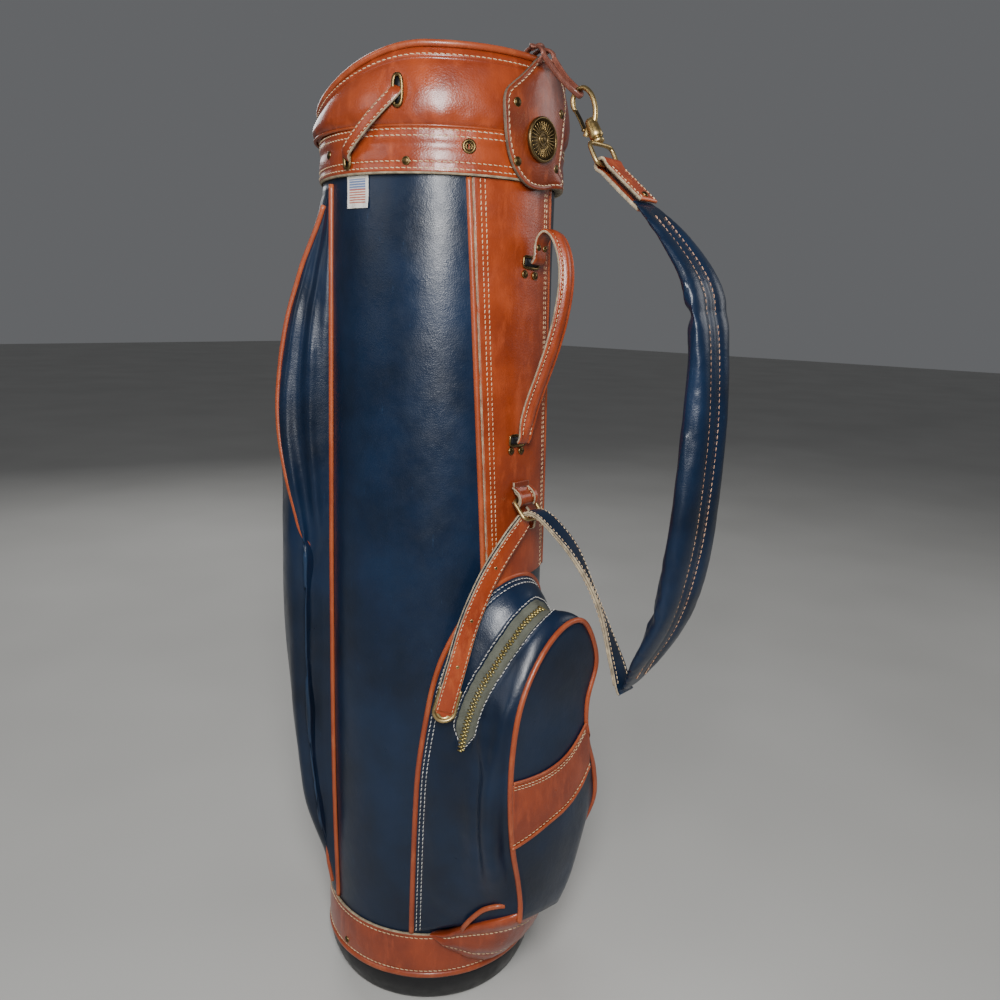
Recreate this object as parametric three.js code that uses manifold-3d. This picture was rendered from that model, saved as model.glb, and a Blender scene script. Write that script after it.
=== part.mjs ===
// A vintage carry golf bag: a stiff round tube on a rubber boot, a padded cuff, two zipped pockets,
// a rolled carry handle and a padded shoulder strap on a snap hook.
//
// Millimetres, +Z up. The origin is the middle of the flat base. The carrying side, with the handle,
// the strap and the ball pocket, faces -Y, and the long garment pocket is on the back, towards +Y.
// Azimuths are in degrees about Z: 0 faces -Y and 90 faces +X.

import * as THREE from 'three';
import { mergeVertices } from 'three/addons/utils/BufferGeometryUtils.js';
import Module from 'manifold-3d';

const wasm = await Module();
wasm.setup();

// ---- driving dimensions ----

const GAP = 0.3; // between pieces that touch
const ROUND = 44; // sides of a full turn

const BODY_RADIUS = 103;
const WALL = 4;
const SKIN = BODY_RADIUS + GAP; // where pieces laid on the tube begin

const BOOT_TOP = 31.7;
const LEDGE = 20;
const BELT_TOP = 79;
const BELT_RADIUS = 106;
const FLOOR_TOP = 12;

const CUFF_BOTTOM = 763;
const BAND_TOP = 797;
const BAND_RADIUS = 110;
const COLLAR_RADIUS = 115;
const RIM_FRONT = 860; // height of the rim on the carrying side
const RIM_BACK = 815; // height of the rim over the long pocket
const RIM_TURN = [50, 125]; // azimuths between which the rim falls from one to the other
const WELT_RADIUS = 2.6;

const SPINE_HALF = 24.5; // degrees
const SPINE_BOTTOM = 424;
const SPINE_RADIUS = 105.5;
const SPINE_SKEW = -0.0348; // degrees for each millimetre of height
const SPINE_LEVEL = 612; // the height where the spine is centred on the carrying side

const SHIELD_THICK = 2.4;
const BADGE_HEIGHT = 795;

const HANDLE_TOP = 700;
const HANDLE_BOTTOM = 550;
const HANDLE_AXIS = 115.4; // distance of the handle's swing line from the bag's axis
const HANDLE_SKEW = 0.07; // radians, the top end lies a little towards +X

const LACE_TOP = [121.5, 856]; // distance from the bag's axis, and height
const HOOK_TOP = [152, 828];
const HOOK_TIP = [180, 778];
const EYE = { middle: 57.5, halfWidth: 14.5, halfHeight: 9.5 }; // along the hook from its top
const STRAP_END = [223, 738]; // where the strap's tip runs into its pad
const STRAP_TWIST = 40; // degrees, half way along the narrow strap
const LOOP_TOP = [110, 498.5];
const LOOP_BAR = [124, 483.5];

const POCKET_FACE = 157; // distance of the ball pocket's flat face from the bag's axis
const POCKET_ROOT = 60;
const POCKET_MIDDLE = 252.7;
const POCKET_SPREAD = [1.456, 1.203]; // how much wider and taller the pocket is at its root

const ZIP_RADIUS = 128; // of each side of the pocket's pointed arch
const ZIP_PEAK = new THREE.Vector3(0, -133, 401);
const ZIP_CENTRE = [-61, -110]; // of the +X side's arc, across and up from the peak
const ZIP_LEAN = Math.atan2(25, 112);
const ZIP_END = -2; // degrees, the arc's lower end
const ZIP_REST = 2.5; // degrees, the closed slider's place on the arc
const POCKET_HEM = 84; // the pocket's lower edge at its root
const SLIDER_OUT = 4.9; // middle of a slider, out from its zip's inner face
const PULL_OUT = 8.8; // middle of a pull tab
const PULL_PIVOT = -5; // the tab's pin, along from the middle of the slider
const PULL_LENGTH = 22;

const LONG_BOTTOM = 84;
const LONG_TOP = 755;
const LONG_BACK = 30; // degrees either side of straight back that the back panel spans
const LONG_ZIP = { x: 99.9, y: 55, bottom: 180, top: 640 };

// ---- colours ----

const LEATHER = { color: 0xa84a22, roughness: 0.38, metalness: 0 };
const NAVY = { color: 0x16243a, roughness: 0.32, metalness: 0 };
const BRASS = { color: 0x9a7c4a, roughness: 0.35, metalness: 1 };
const BLACK = { color: 0x0c0d10, roughness: 0.5, metalness: 0 };
const LACE = { color: 0x5a2f20, roughness: 0.6, metalness: 0 };
const TAPE = { color: 0x77745c, roughness: 0.9, metalness: 0 };
const LINING = { color: 0x202226, roughness: 0.95, metalness: 0 };
const WHITE = { color: 0xd9d4c8, roughness: 0.9, metalness: 0 };

// ---- geometry helpers ----

const radians = (degrees) => (degrees * Math.PI) / 180;

function around(azimuth, radius, height) {
  const a = radians(azimuth);
  return new THREE.Vector3(radius * Math.sin(a), -radius * Math.cos(a), height);
}

// A point in the upright plane of the handle and the strap, from its distance and height.
const front = ([distance, height]) => new THREE.Vector3(0, -distance, height);

// The azimuth of a vertex, from -180 to 180 degrees.
const azimuthOf = (v) => (Math.atan2(v.x, -v.y) * 180) / Math.PI;

function reshape(geometry, change) {
  const places = geometry.attributes.position;
  const v = new THREE.Vector3();
  for (let i = 0; i < places.count; i += 1) {
    v.fromBufferAttribute(places, i);
    change(v);
    places.setXYZ(i, v.x, v.y, v.z);
  }
  return geometry;
}

function toSolid(geometry) {
  const bare = geometry.clone();
  bare.deleteAttribute('normal');
  bare.deleteAttribute('uv');
  const joined = mergeVertices(bare, 1e-4);
  const mesh = new wasm.Mesh({
    numProp: 3,
    vertProperties: new Float32Array(joined.attributes.position.array),
    triVerts: new Uint32Array(joined.index.array),
  });
  return new wasm.Manifold(mesh);
}

function toGeometry(solid) {
  const mesh = solid.getMesh();
  const geometry = new THREE.BufferGeometry();
  geometry.setAttribute('position', new THREE.BufferAttribute(mesh.vertProperties, 3));
  geometry.setIndex(new THREE.BufferAttribute(mesh.triVerts, 1));
  return geometry;
}

const cut = (a, b) => toGeometry(toSolid(a).subtract(toSolid(b)));
const join = (a, b) => toGeometry(toSolid(a).add(toSolid(b)));
const overlap = (a, b) => toGeometry(toSolid(a).intersect(toSolid(b)));

// A ring or disc turned about Z, from a closed profile of [radius, height] points.
function turned(profile, sides = ROUND) {
  const points = profile.map(([r, z]) => new THREE.Vector2(r, z));
  if (profile[0][0] > 0) points.push(points[0].clone());
  return new THREE.LatheGeometry(points, sides).rotateX(Math.PI / 2);
}

function annulusShape(inner, outer, start, end) {
  const shape = new THREE.Shape();
  shape.absarc(0, 0, outer, start, end, false);
  shape.absarc(0, 0, inner, end, start, true);
  shape.closePath();
  return shape;
}

function extruded(shape, depth, curveSegments = 10, steps = 1) {
  return new THREE.ExtrudeGeometry(shape, { depth, steps, bevelEnabled: false, curveSegments });
}

// A curved plate on the tube, between two azimuths, radii and heights.
function plate(azimuths, radii, heights, sides = 10, steps = 1) {
  const [start, end] = azimuths.map((a) => radians(a - 90));
  const shape = annulusShape(radii[0], radii[1], start, end);
  return extruded(shape, heights[1] - heights[0], sides, steps).translate(0, 0, heights[0]);
}

// A solid bar bent along a smooth curve. wide() gives the direction of its width along the way.
function bentBar(points, wide, width, thickness, steps) {
  const curve = new THREE.CatmullRomCurve3(points, false, 'centripetal');
  const bar = new THREE.BoxGeometry(width, thickness, 1, 1, 1, steps);
  return reshape(bar, (v) => {
    const along = v.z + 0.5;
    const tangent = curve.getTangentAt(along);
    const side = wide(along).clone();
    side.addScaledVector(tangent, -side.dot(tangent)).normalize();
    const up = new THREE.Vector3().crossVectors(tangent, side);
    const { x, y } = v;
    v.copy(curve.getPointAt(along)).addScaledVector(side, x).addScaledVector(up, y);
  });
}

const ACROSS = new THREE.Vector3(1, 0, 0);

// A wire loop in the XY plane, from a circle at squareness 1 to nearly a rectangle at 0.3.
function wireLoop(halfWidth, halfHeight, wire, squareness) {
  const loop = new THREE.TorusGeometry(1, 0.2, 6, 24);
  return reshape(loop, (v) => {
    const turn = Math.atan2(v.y, v.x);
    const out = (Math.hypot(v.x, v.y) - 1) * 5 * wire;
    const c = Math.cos(turn);
    const s = Math.sin(turn);
    v.x = Math.sign(c) * Math.abs(c) ** squareness * halfWidth + c * out;
    v.y = Math.sign(s) * Math.abs(s) ** squareness * halfHeight + s * out;
    v.z = v.z * 5 * wire;
  });
}

const materials = new Map();

function materialOf(look) {
  if (!materials.has(look)) materials.set(look, new THREE.MeshStandardMaterial(look));
  return materials.get(look);
}

function piece(name, geometry, look) {
  const mesh = new THREE.Mesh(geometry, materialOf(look));
  mesh.name = name;
  return mesh;
}

// Turns a mesh built facing +Z so that it faces outwards at an azimuth, its +Y pointing up.
function facing(mesh, azimuth, radius, height) {
  mesh.position.copy(around(azimuth, radius, height));
  mesh.rotation.set(Math.PI / 2, 0, radians(azimuth), 'ZYX');
  return mesh;
}

function rivet(name, azimuth, radius, height, size = 3.2) {
  const head = new THREE.CylinderGeometry(size * 0.7, size, 1.6, 12).rotateX(Math.PI / 2);
  return facing(piece(name, head.translate(0, 0, 0.8), BRASS), azimuth, radius, height);
}

// ---- the rim and the cuff's outline ----

function rimHeight(azimuth) {
  const [from, to] = RIM_TURN;
  const t = THREE.MathUtils.smoothstep(Math.abs(azimuth), from, to);
  return RIM_FRONT + (RIM_BACK - RIM_FRONT) * t;
}

// A ring above the band: its profile's height runs from 0 at the band to 1 at the rim.
function rimmedRing(profile, bottom, below) {
  return reshape(turned(profile, 60), (v) => {
    const top = rimHeight(azimuthOf(v)) - below;
    v.z = bottom + v.z * (top - bottom);
  });
}

// ---- base and tube ----

function buildTube() {
  const boot = [
    [0, 0], [93, 0], [97.5, 2.5], [99.5, 8], [103, 16], [105.4, 24], [105.4, BOOT_TOP],
    [SKIN + 0.1, BOOT_TOP], [SKIN + 0.1, LEDGE], [95, LEDGE], [95, 6], [0, 6],
  ];
  const shell = [
    [BODY_RADIUS - WALL, 0], [BODY_RADIUS, 0], [BODY_RADIUS, 1], [BODY_RADIUS - WALL, 1],
  ];
  const belt = [
    [SKIN, BOOT_TOP + GAP], [BELT_RADIUS - 0.8, BOOT_TOP + GAP], [BELT_RADIUS, 35],
    [BELT_RADIUS, BELT_TOP - 2], [BELT_RADIUS - 1, BELT_TOP], [SKIN, BELT_TOP],
  ];
  const strip = plate(
    [-SPINE_HALF, SPINE_HALF], [SKIN, SPINE_RADIUS], [SPINE_BOTTOM, CUFF_BOTTOM - GAP], 7, 8,
  );
  const upright = new THREE.Vector3(0, 0, 1);
  const spine = reshape(strip, (v) => {
    v.applyAxisAngle(upright, radians(SPINE_SKEW * (v.z - SPINE_LEVEL)));
  });
  return [
    piece('base_boot', turned(boot), BLACK),
    piece('floor_pad', turned([[0, 6.3], [94.5, 6.3], [94.5, FLOOR_TOP], [0, FLOOR_TOP]]), LINING),
    piece('body_shell', rimmedRing(shell, LEDGE + GAP, 7), NAVY),
    piece('bottom_belt', turned(belt), LEATHER),
    piece('spine_panel', spine, LEATHER),
  ];
}

// ---- club divider ----

function buildDivider() {
  const inner = BODY_RADIUS - WALL - GAP;
  const level = 768;
  const liner = [[inner - 1.7, 0], [inner, 0], [inner, 1], [inner - 1.7, 1]];
  const hoopOuter = inner - 1.7 - GAP;
  const hoop = turned([
    [hoopOuter - 5, level], [hoopOuter, level], [hoopOuter, level + 14], [hoopOuter - 5, level + 14],
  ]);
  const reach = hoopOuter - 2;
  const crossBar = new THREE.BoxGeometry(2 * reach, 9, 14).translate(0, 0, level + 7);
  const shortBar = new THREE.BoxGeometry(9, reach, 14).translate(0, reach / 2, level + 7);
  const panelTop = level - GAP;
  const panelHeight = panelTop - FLOOR_TOP - GAP;
  const panelMiddle = (panelTop + FLOOR_TOP + GAP) / 2;
  const wide = 2 * (inner - 4);
  const acrossPanel = new THREE.BoxGeometry(wide, 2, panelHeight).translate(0, 0, panelMiddle);
  const backPanel = new THREE.BoxGeometry(2, inner - 4, panelHeight);
  backPanel.translate(0, (inner - 4) / 2, panelMiddle);
  return [
    piece('top_liner', rimmedRing(liner, 700, 6), LINING),
    piece('divider_hoop', join(join(hoop, crossBar), shortBar), LINING),
    piece('divider_panels', join(acrossPanel, backPanel), LINING),
  ];
}

// ---- cuff ----

// The cuff's outer radius at a height on the carrying side, where the shield lies.
function cuffRadius(height) {
  const fullest = 808;
  const fall = height > fullest ? (height - fullest) / (RIM_FRONT - fullest) : 0;
  const rise = height < fullest ? (fullest - height) / (fullest - CUFF_BOTTOM) : 0;
  return COLLAR_RADIUS + 0.4 - 7.4 * fall ** 2 - 3.6 * rise ** 2;
}

function shieldShape() {
  const half = [
    [0, 858], [10, 857], [19, 855], [27, 846], [33, 832], [31, 822], [36, 812], [38.5, 800], [38, 786],
    [33, 776], [34, 768], [26, 761], [14, 762], [7, 757], [0, 755],
  ];
  const shape = new THREE.Shape();
  const right = half.map(([x, z]) => new THREE.Vector2(x, z));
  const left = half.slice(1, -1).reverse().map(([x, z]) => new THREE.Vector2(-x, z));
  shape.moveTo(right[0].x, right[0].y);
  [...right.slice(1), ...left].forEach((p) => shape.lineTo(p.x, p.y));
  shape.closePath();
  return shape;
}

function buildShield() {
  const rows = [754, 766, 780, 794, 808, 820, 832, 846, RIM_FRONT];
  const outsideLine = rows.map((z) => [cuffRadius(z) + GAP + SHIELD_THICK, z]);
  const insideLine = rows.map((z) => [cuffRadius(z) + GAP, z]).reverse();
  const skin = turned([...outsideLine, ...insideLine]);
  const stamp = extruded(shieldShape(), 60).rotateX(Math.PI / 2).translate(0, -80, 0);
  const meshes = [piece('shield_flap', overlap(skin, stamp), LEATHER)];
  const top = (z) => cuffRadius(z) + GAP + SHIELD_THICK + 0.5;
  const badge = turned([[0, 0], [16, 0], [16, 1.2], [14, 2.2], [0, 2.2]], 32);
  meshes.push(facing(piece('badge', badge, BRASS), 0, top(BADGE_HEIGHT) + 0.6, BADGE_HEIGHT));
  const corners = [[-13.5, 819], [13.5, 819], [-12, 776], [12, 776]];
  corners.forEach(([azimuth, z], i) => {
    meshes.push(rivet(`shield_rivet_${i + 1}`, azimuth, top(z), z));
  });
  return meshes;
}

function buildCuff() {
  const band = turned([
    [SKIN, CUFF_BOTTOM], [BAND_RADIUS - 1, CUFF_BOTTOM], [BAND_RADIUS, CUFF_BOTTOM + 3],
    [BAND_RADIUS, BAND_TOP - 2], [BAND_RADIUS - 1, BAND_TOP], [SKIN, BAND_TOP],
  ]);
  const collar = [
    [SKIN, 0], [109, 0], [112.5, 0.07], [COLLAR_RADIUS, 0.2], [114.6, 0.36], [113, 0.55],
    [110.5, 0.75], [107.5, 0.9], [105, 1], [SKIN, 1],
  ];
  const welt = reshape(new THREE.TorusGeometry(105, WELT_RADIUS, 6, 60), (v) => {
    v.z += rimHeight(azimuthOf(v)) - WELT_RADIUS;
  });
  const eyelet = (halfWidth, halfHeight) => wireLoop(halfWidth, halfHeight, 1.2, 0.7);
  const tagPoints = [
    around(-61, 119.6, 821), around(-67, 119, 809), around(-76, 117.8, 793), around(-84.5, 114.6, 778),
  ];
  const tag = bentBar(tagPoints, () => new THREE.Vector3(-0.2, 0.63, 0.75), 9, 1.8, 10);
  const socket = turned([[2.4, 0], [5.5, 0], [5, 1.6], [2.8, 1.6]], 20);
  const sew = 0.4;
  return [
    piece('cuff_band', band, LEATHER),
    piece('cuff_collar', rimmedRing(collar, BAND_TOP + GAP, 2 * WELT_RADIUS + GAP), LEATHER),
    piece('rim_welt', welt, LEATHER),
    facing(piece('tag_grommet', eyelet(3.6, 11), BRASS), -60.5, COLLAR_RADIUS + 1.9, 822),
    facing(piece('tag_slot_eyelet', eyelet(3.2, 7), BRASS), -85.5, BAND_RADIUS + 1.6, 775),
    piece('tag_strap', tag, LEATHER),
    facing(piece('snap_socket', socket, BRASS), -32, BAND_RADIUS + sew, 784),
    rivet('cuff_rivet_1', -57.6, BAND_RADIUS + sew, 772),
    rivet('cuff_rivet_2', -102, BAND_RADIUS + sew, 781),
    piece('woven_label', plate([-90, -77], [SKIN, SKIN + 1], [738, CUFF_BOTTOM - GAP], 4), WHITE),
  ];
}

// ---- carry handle ----

function buildHandle() {
  const group = new THREE.Group();
  const middle = (HANDLE_TOP + HANDLE_BOTTOM) / 2;
  group.position.set(0, 0, middle);
  group.rotation.y = HANDLE_SKEW;
  const clear = 1.6; // from the middle of each plate up to the handle's end
  const reach = [
    [HANDLE_AXIS, HANDLE_TOP + clear], [HANDLE_AXIS, 712], [118, 720], [124, 724], [131.5, 720.5],
    [138.5, 711], [143.5, 697], [145, 680], [142.5, 656], [136.5, 631.5], [128.5, 607.5], [119, 580],
    [116, 563], [HANDLE_AXIS, HANDLE_BOTTOM + clear],
  ].map(front);
  const handle = bentBar(reach, () => ACROSS, 14, 7, 36).translate(0, 0, -middle);
  group.add(piece('carry_handle', handle, LEATHER));
  for (const [name, height] of [['top', HANDLE_TOP], ['bottom', HANDLE_BOTTOM]]) {
    const rim = wireLoop(9.5, 4.5, 1, 0.4).rotateX(Math.PI / 2);
    rim.translate(0, -(SPINE_RADIUS + 1.4), height - middle);
    group.add(piece(`handle_plate_${name}`, rim, BRASS));
  }
  let count = 0;
  for (const height of [HANDLE_TOP - 10, HANDLE_BOTTOM - 9]) {
    for (const x of [-6.5, 6.5]) {
      count += 1;
      const head = new THREE.CylinderGeometry(2, 2.8, 1.4, 12);
      head.rotateX(Math.PI).translate(x, -(SPINE_RADIUS + 1), height - middle);
      group.add(piece(`handle_rivet_${count}`, head, BRASS));
    }
  }
  return group;
}

// ---- shoulder strap and its hardware ----

const hookDirection = new THREE.Vector2(HOOK_TIP[0] - HOOK_TOP[0], HOOK_TIP[1] - HOOK_TOP[1]).normalize();

// A point of the snap hook: down along the hook, and out from it, away from the bag.
function onHook(down, out) {
  const { x, y } = hookDirection;
  return front([HOOK_TOP[0] + x * down - y * out, HOOK_TOP[1] + y * down + x * out]);
}

function roundBar(points, radius, steps) {
  const section = new THREE.Shape().absarc(0, 0, radius, 0, 2 * Math.PI);
  const extrudePath = new THREE.CatmullRomCurve3(points, false, 'centripetal');
  return new THREE.ExtrudeGeometry(section, { extrudePath, steps, curveSegments: 5, bevelEnabled: false });
}

function buildHook() {
  const lean = Math.atan2(hookDirection.x, -hookDirection.y);
  const bow = roundBar(
    [onHook(32, 1), onHook(26, 6), onHook(18, 8.6), onHook(9, 8.6), onHook(2, 4.8), onHook(0.5, -1),
      onHook(3.5, -6.5), onHook(8, -8.6), onHook(12, -8.8)],
    2,
    24,
  );
  const barrel = new THREE.CylinderGeometry(4, 5.2, 17, 14).rotateX(Math.PI / 2).rotateX(-lean);
  barrel.translate(0, onHook(37.4, 0).y, onHook(37.4, 0).z);
  const lug = new THREE.BoxGeometry(4, 6, 5).rotateX(-lean);
  lug.translate(0, onHook(34.4, -6).y, onHook(34.4, -6).z);
  const gate = bentBar([onHook(30.5, -7.6), onHook(21, -7.8), onHook(12.6, -8.6)], () => ACROSS, 4, 1.8, 3);
  const eye = wireLoop(EYE.halfWidth, EYE.halfHeight, 1.6, 0.4).rotateX(Math.PI / 2).rotateX(-lean);
  eye.translate(0, onHook(EYE.middle, 0).y, onHook(EYE.middle, 0).z);
  return [
    piece('snap_hook', join(join(bow, barrel), lug), BRASS),
    piece('hook_gate', gate, BRASS),
    piece('hook_eye', eye, BRASS),
  ];
}

function buildLace() {
  const strand = 6.5;
  const bottom = onHook(5.2, 0);
  const top = front(LACE_TOP);
  const at = (x, p) => new THREE.Vector3(x, p.y, p.z);
  const midway = top.clone().lerp(bottom, 0.5);
  const route = [
    at(-strand, top), at(-strand, midway), at(-strand, top.clone().lerp(bottom, 0.93)), at(0, bottom),
    at(strand, top.clone().lerp(bottom, 0.93)), at(strand, midway), at(strand, top),
  ];
  return [piece('lace', roundBar(route, 1.3, 26), LACE)];
}

function buildStrap() {
  const bar = onHook(EYE.middle + EYE.halfHeight, 0);
  const end = front(STRAP_END);
  const axis = end.clone().sub(bar).normalize();
  const tilt = Math.atan2(axis.z, -axis.y);
  const length = bar.distanceTo(end);
  const outline = new THREE.Shape();
  outline.absarc(0, 0, 6, Math.PI / 2, (3 * Math.PI) / 2, false);
  outline.lineTo(length, -4.5);
  outline.lineTo(length, 4.5);
  outline.closePath();
  outline.holes.push(new THREE.Path().absarc(0, 0, 3.4, 0, 2 * Math.PI, true));
  const tip = extruded(outline, 22, 8).translate(0, 0, -11).rotateX(Math.PI / 2);
  tip.rotateZ(-Math.PI / 2).rotateX(-tilt).translate(0, bar.y, bar.z);

  const padRoute = [
    [225.5, 736], [254, 711], [279, 678], [286, 643], [288, 582], [285, 493], [268, 427], [236, 368],
  ].map(front);
  const narrowRoute = [[229, 354], [219, 376], [196, 424], [168, 463], [139.5, 484]].map(front);
  const twist = (t) => around(90 + STRAP_TWIST * Math.sin(Math.PI * t), 1, 0);
  return [
    piece('strap_tip', tip, LEATHER),
    piece('strap_pad', bentBar(padRoute, () => ACROSS, 55, 14, 34), NAVY),
    piece('narrow_strap', bentBar(narrowRoute, twist, 20, 4, 20), NAVY),
  ];
}

function buildLoopAndTail() {
  const top = front(LOOP_TOP);
  const bar = front(LOOP_BAR);
  const middle = top.clone().lerp(bar, 0.5);
  const lean = Math.atan2(-(bar.y - top.y), top.z - bar.z);
  const loop = wireLoop(12.5, top.distanceTo(bar) / 2, 1.7, 0.4).rotateX(Math.PI / 2).rotateX(-lean);
  loop.translate(0, middle.y, middle.z);
  const strip = new THREE.BoxGeometry(20, 1.8, 15).translate(0, -(SPINE_RADIUS + 1.6), 506);
  const curl = extruded(annulusShape(2.2, 4, -Math.PI / 2, Math.PI), 20, 8).translate(0, 0, -10);
  curl.rotateY(-Math.PI / 2).translate(0, top.y, top.z);
  const tailRoute = [
    around(0, 117.5, 486), around(-4, 115.5, 475), around(-10, 114.5, 461), around(-19, 114.5, 436),
    around(-28.5, 118, 397), around(-35, 123, 354), around(-39.5, 125.5, 318),
  ];
  const tailWide = (t) => around(87 - 37 * t, 1, -0.35 * t);
  const cap = bentBar([around(-39.75, 125.6, 316), around(-40.4, 126, 308)], () => tailWide(1), 21, 5, 2);
  return [
    piece('buckle_loop', loop, BRASS),
    piece('chape', join(strip, curl), LEATHER),
    piece('strap_tail', bentBar(tailRoute, tailWide, 19, 3.6, 18), LEATHER),
    piece('tail_cap', cap, BRASS),
  ];
}

// ---- ball pocket ----

// Upright outline of the pocket's flat face.
function faceShape() {
  const half = 57;
  const shoulder = 268;
  const top = 393;
  const bottom = 112;
  const shape = new THREE.Shape();
  shape.moveTo(-44, bottom);
  shape.lineTo(44, bottom);
  shape.quadraticCurveTo(half, 190, half, shoulder);
  shape.absellipse(0, shoulder, half, top - shoulder, 0, Math.PI, false);
  shape.quadraticCurveTo(-half, 190, -44, bottom);
  return shape;
}

// The zip's plane leans back: a point of it, across and up from the arch's peak, and out of the plane.
function onZip(across, up, out = 0) {
  const s = Math.sin(ZIP_LEAN);
  const c = Math.cos(ZIP_LEAN);
  return new THREE.Vector3(across, -s * up - c * out, c * up - s * out).add(ZIP_PEAK);
}

const zipAngleAtPeak = (Math.acos(-ZIP_CENTRE[0] / ZIP_RADIUS) * 180) / Math.PI;

// A slice of a ring about the centre of the arch's +X side, in the zip's plane.
function zipSlice(inner, outer, width, start, end) {
  const shape = annulusShape(inner, outer, radians(start), radians(end));
  return reshape(extruded(shape, width, 12), (v) => {
    v.copy(onZip(v.x + ZIP_CENTRE[0], v.y + ZIP_CENTRE[1], v.z - width / 2));
  });
}

const mirrored = (geometry) => {
  const twin = toSolid(geometry).mirror([1, 0, 0]);
  return toGeometry(twin);
};

// A box beside the zip: out from the arc, along it and across it, from the arc's centre.
function zipBox(size, outwards, along, angle) {
  const turn = radians(angle);
  return reshape(new THREE.BoxGeometry(...size), (v) => {
    const r = ZIP_RADIUS + outwards + v.x;
    const t = along + v.y;
    const across = ZIP_CENTRE[0] + r * Math.cos(turn) - t * Math.sin(turn);
    const up = ZIP_CENTRE[1] + r * Math.sin(turn) + t * Math.cos(turn);
    v.copy(onZip(across, up, v.z));
  });
}

function buildZipHardware(name, at) {
  return [
    piece(`${name}_slider`, at([4.4, 13, 9], SLIDER_OUT, 0), BRASS),
    piece(`${name}_pull`, at([1.2, PULL_LENGTH, 6], PULL_OUT, PULL_PIVOT - PULL_LENGTH / 2), BRASS),
  ];
}

function buildBallPocket() {
  const depth = POCKET_FACE - POCKET_ROOT;
  const block = extruded(faceShape(), depth, 10, 3);
  reshape(block, (v) => {
    const root = 1 - v.z / depth;
    v.x *= 1 + (POCKET_SPREAD[0] - 1) * root;
    v.y = POCKET_MIDDLE + (v.y - POCKET_MIDDLE) * (1 + (POCKET_SPREAD[1] - 1) * root);
  });
  block.rotateX(Math.PI / 2).translate(0, -POCKET_ROOT, 0);
  const core = BELT_RADIUS + GAP;
  const tube = turned([[0, 0], [core, 0], [core, 500], [0, 500]]);
  const channel = zipSlice(ZIP_RADIUS, ZIP_RADIUS + 25, 25, ZIP_END - 4, zipAngleAtPeak + 8);
  const pocket = cut(cut(cut(block, tube), channel), mirrored(channel));

  const side = zipSlice(ZIP_RADIUS + GAP, ZIP_RADIUS + 2.3, 22, ZIP_END, zipAngleAtPeak + 0.6);
  const band = new THREE.BoxGeometry(112, 1.6, 56).translate(0, -(POCKET_FACE + GAP + 0.8), 240);

  const outline = new THREE.Shape();
  outline.moveTo(-60, -60);
  outline.lineTo(-78, -72);
  outline.lineTo(-46, -150);
  outline.lineTo(46, -150);
  outline.lineTo(78, -72);
  outline.lineTo(60, -60);
  outline.closePath();
  const gusset = reshape(extruded(outline, 1), (v) => {
    const out = -v.y - POCKET_ROOT;
    v.z = v.z > 0.5 ? POCKET_HEM - 1 + 0.289 * out : 48 + 0.44 * out;
  });
  return [
    piece('ball_pocket', pocket, NAVY),
    piece('ball_pocket_band', band, LEATHER),
    piece('ball_pocket_base', cut(gusset, tube), LEATHER),
    piece('ball_zip_chain', join(side, mirrored(side)), TAPE),
    ...buildZipHardware('ball_zip', (size, out, along) => zipBox(size, out, along, ZIP_REST)),
  ];
}

// ---- long garment pocket ----

// How full the pocket is at a height: flat at the cuff and the belt, fullest between them.
function fullness(height) {
  const t = (height - 60) / 700;
  return Math.sin(Math.PI * t) ** 0.65;
}

function buildLongPocket() {
  const edge = 107;
  const shape = new THREE.Shape();
  const half = [[99.6, 31], [99, 60], [96, 92], [91, 112], [81, 125], [62, 132], [32, 137]];
  shape.moveTo(...half[0]);
  half.slice(1).forEach((p) => shape.lineTo(...p));
  half.slice().reverse().forEach(([x, y]) => shape.lineTo(-x, y));
  shape.absarc(0, 0, SKIN, radians(360 - edge - 90), radians(edge - 90), true);
  const height = LONG_TOP - LONG_BOTTOM;
  const crescent = extruded(shape, height, 20, 9).translate(0, 0, LONG_BOTTOM);
  reshape(crescent, (v) => {
    const out = Math.hypot(v.x, v.y);
    const full = SKIN + (out - SKIN) * fullness(v.z);
    v.x *= full / out;
    v.y *= full / out;
  });
  const wedge = (degrees) => {
    const reach = 300;
    const side = reach * Math.tan(radians(degrees));
    const outline = new THREE.Shape().moveTo(0, 0).lineTo(side, reach).lineTo(-side, reach);
    return extruded(outline, LONG_TOP + 1);
  };
  const flanks = cut(crescent, wedge(LONG_BACK));
  const halfSpace = (sign) => new THREE.BoxGeometry(300, 600, 2000).translate(sign * 150, 0, 0);
  const { x, y, bottom, top } = LONG_ZIP;
  const chain = new THREE.BoxGeometry(2, 22, top - bottom).translate(x + 1, y, (top + bottom) / 2);
  const at = (size, out, along) => reshape(new THREE.BoxGeometry(...size), (v) => {
    v.set(x + out + v.x, y - v.z, top - 10 + along + v.y);
  });
  return [
    piece('long_pocket_back', overlap(crescent, wedge(LONG_BACK - 0.15)), NAVY),
    piece('long_pocket_left', overlap(flanks, halfSpace(-1)), NAVY),
    piece('long_pocket_right', overlap(flanks, halfSpace(1)), NAVY),
    piece('long_zip_chain', chain, TAPE),
    ...buildZipHardware('long_zip', at),
  ];
}

// ---- the whole bag ----

const bag = new THREE.Group();
bag.name = 'golf_bag';
bag.add(
  ...buildTube(), ...buildDivider(), ...buildCuff(), ...buildShield(), buildHandle(), ...buildLace(),
  ...buildHook(), ...buildStrap(), ...buildLoopAndTail(), ...buildBallPocket(), ...buildLongPocket(),
);

export default bag;
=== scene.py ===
import math

import bmesh
import bpy
import numpy as np
from mathutils import Matrix, Vector, noise


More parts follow.
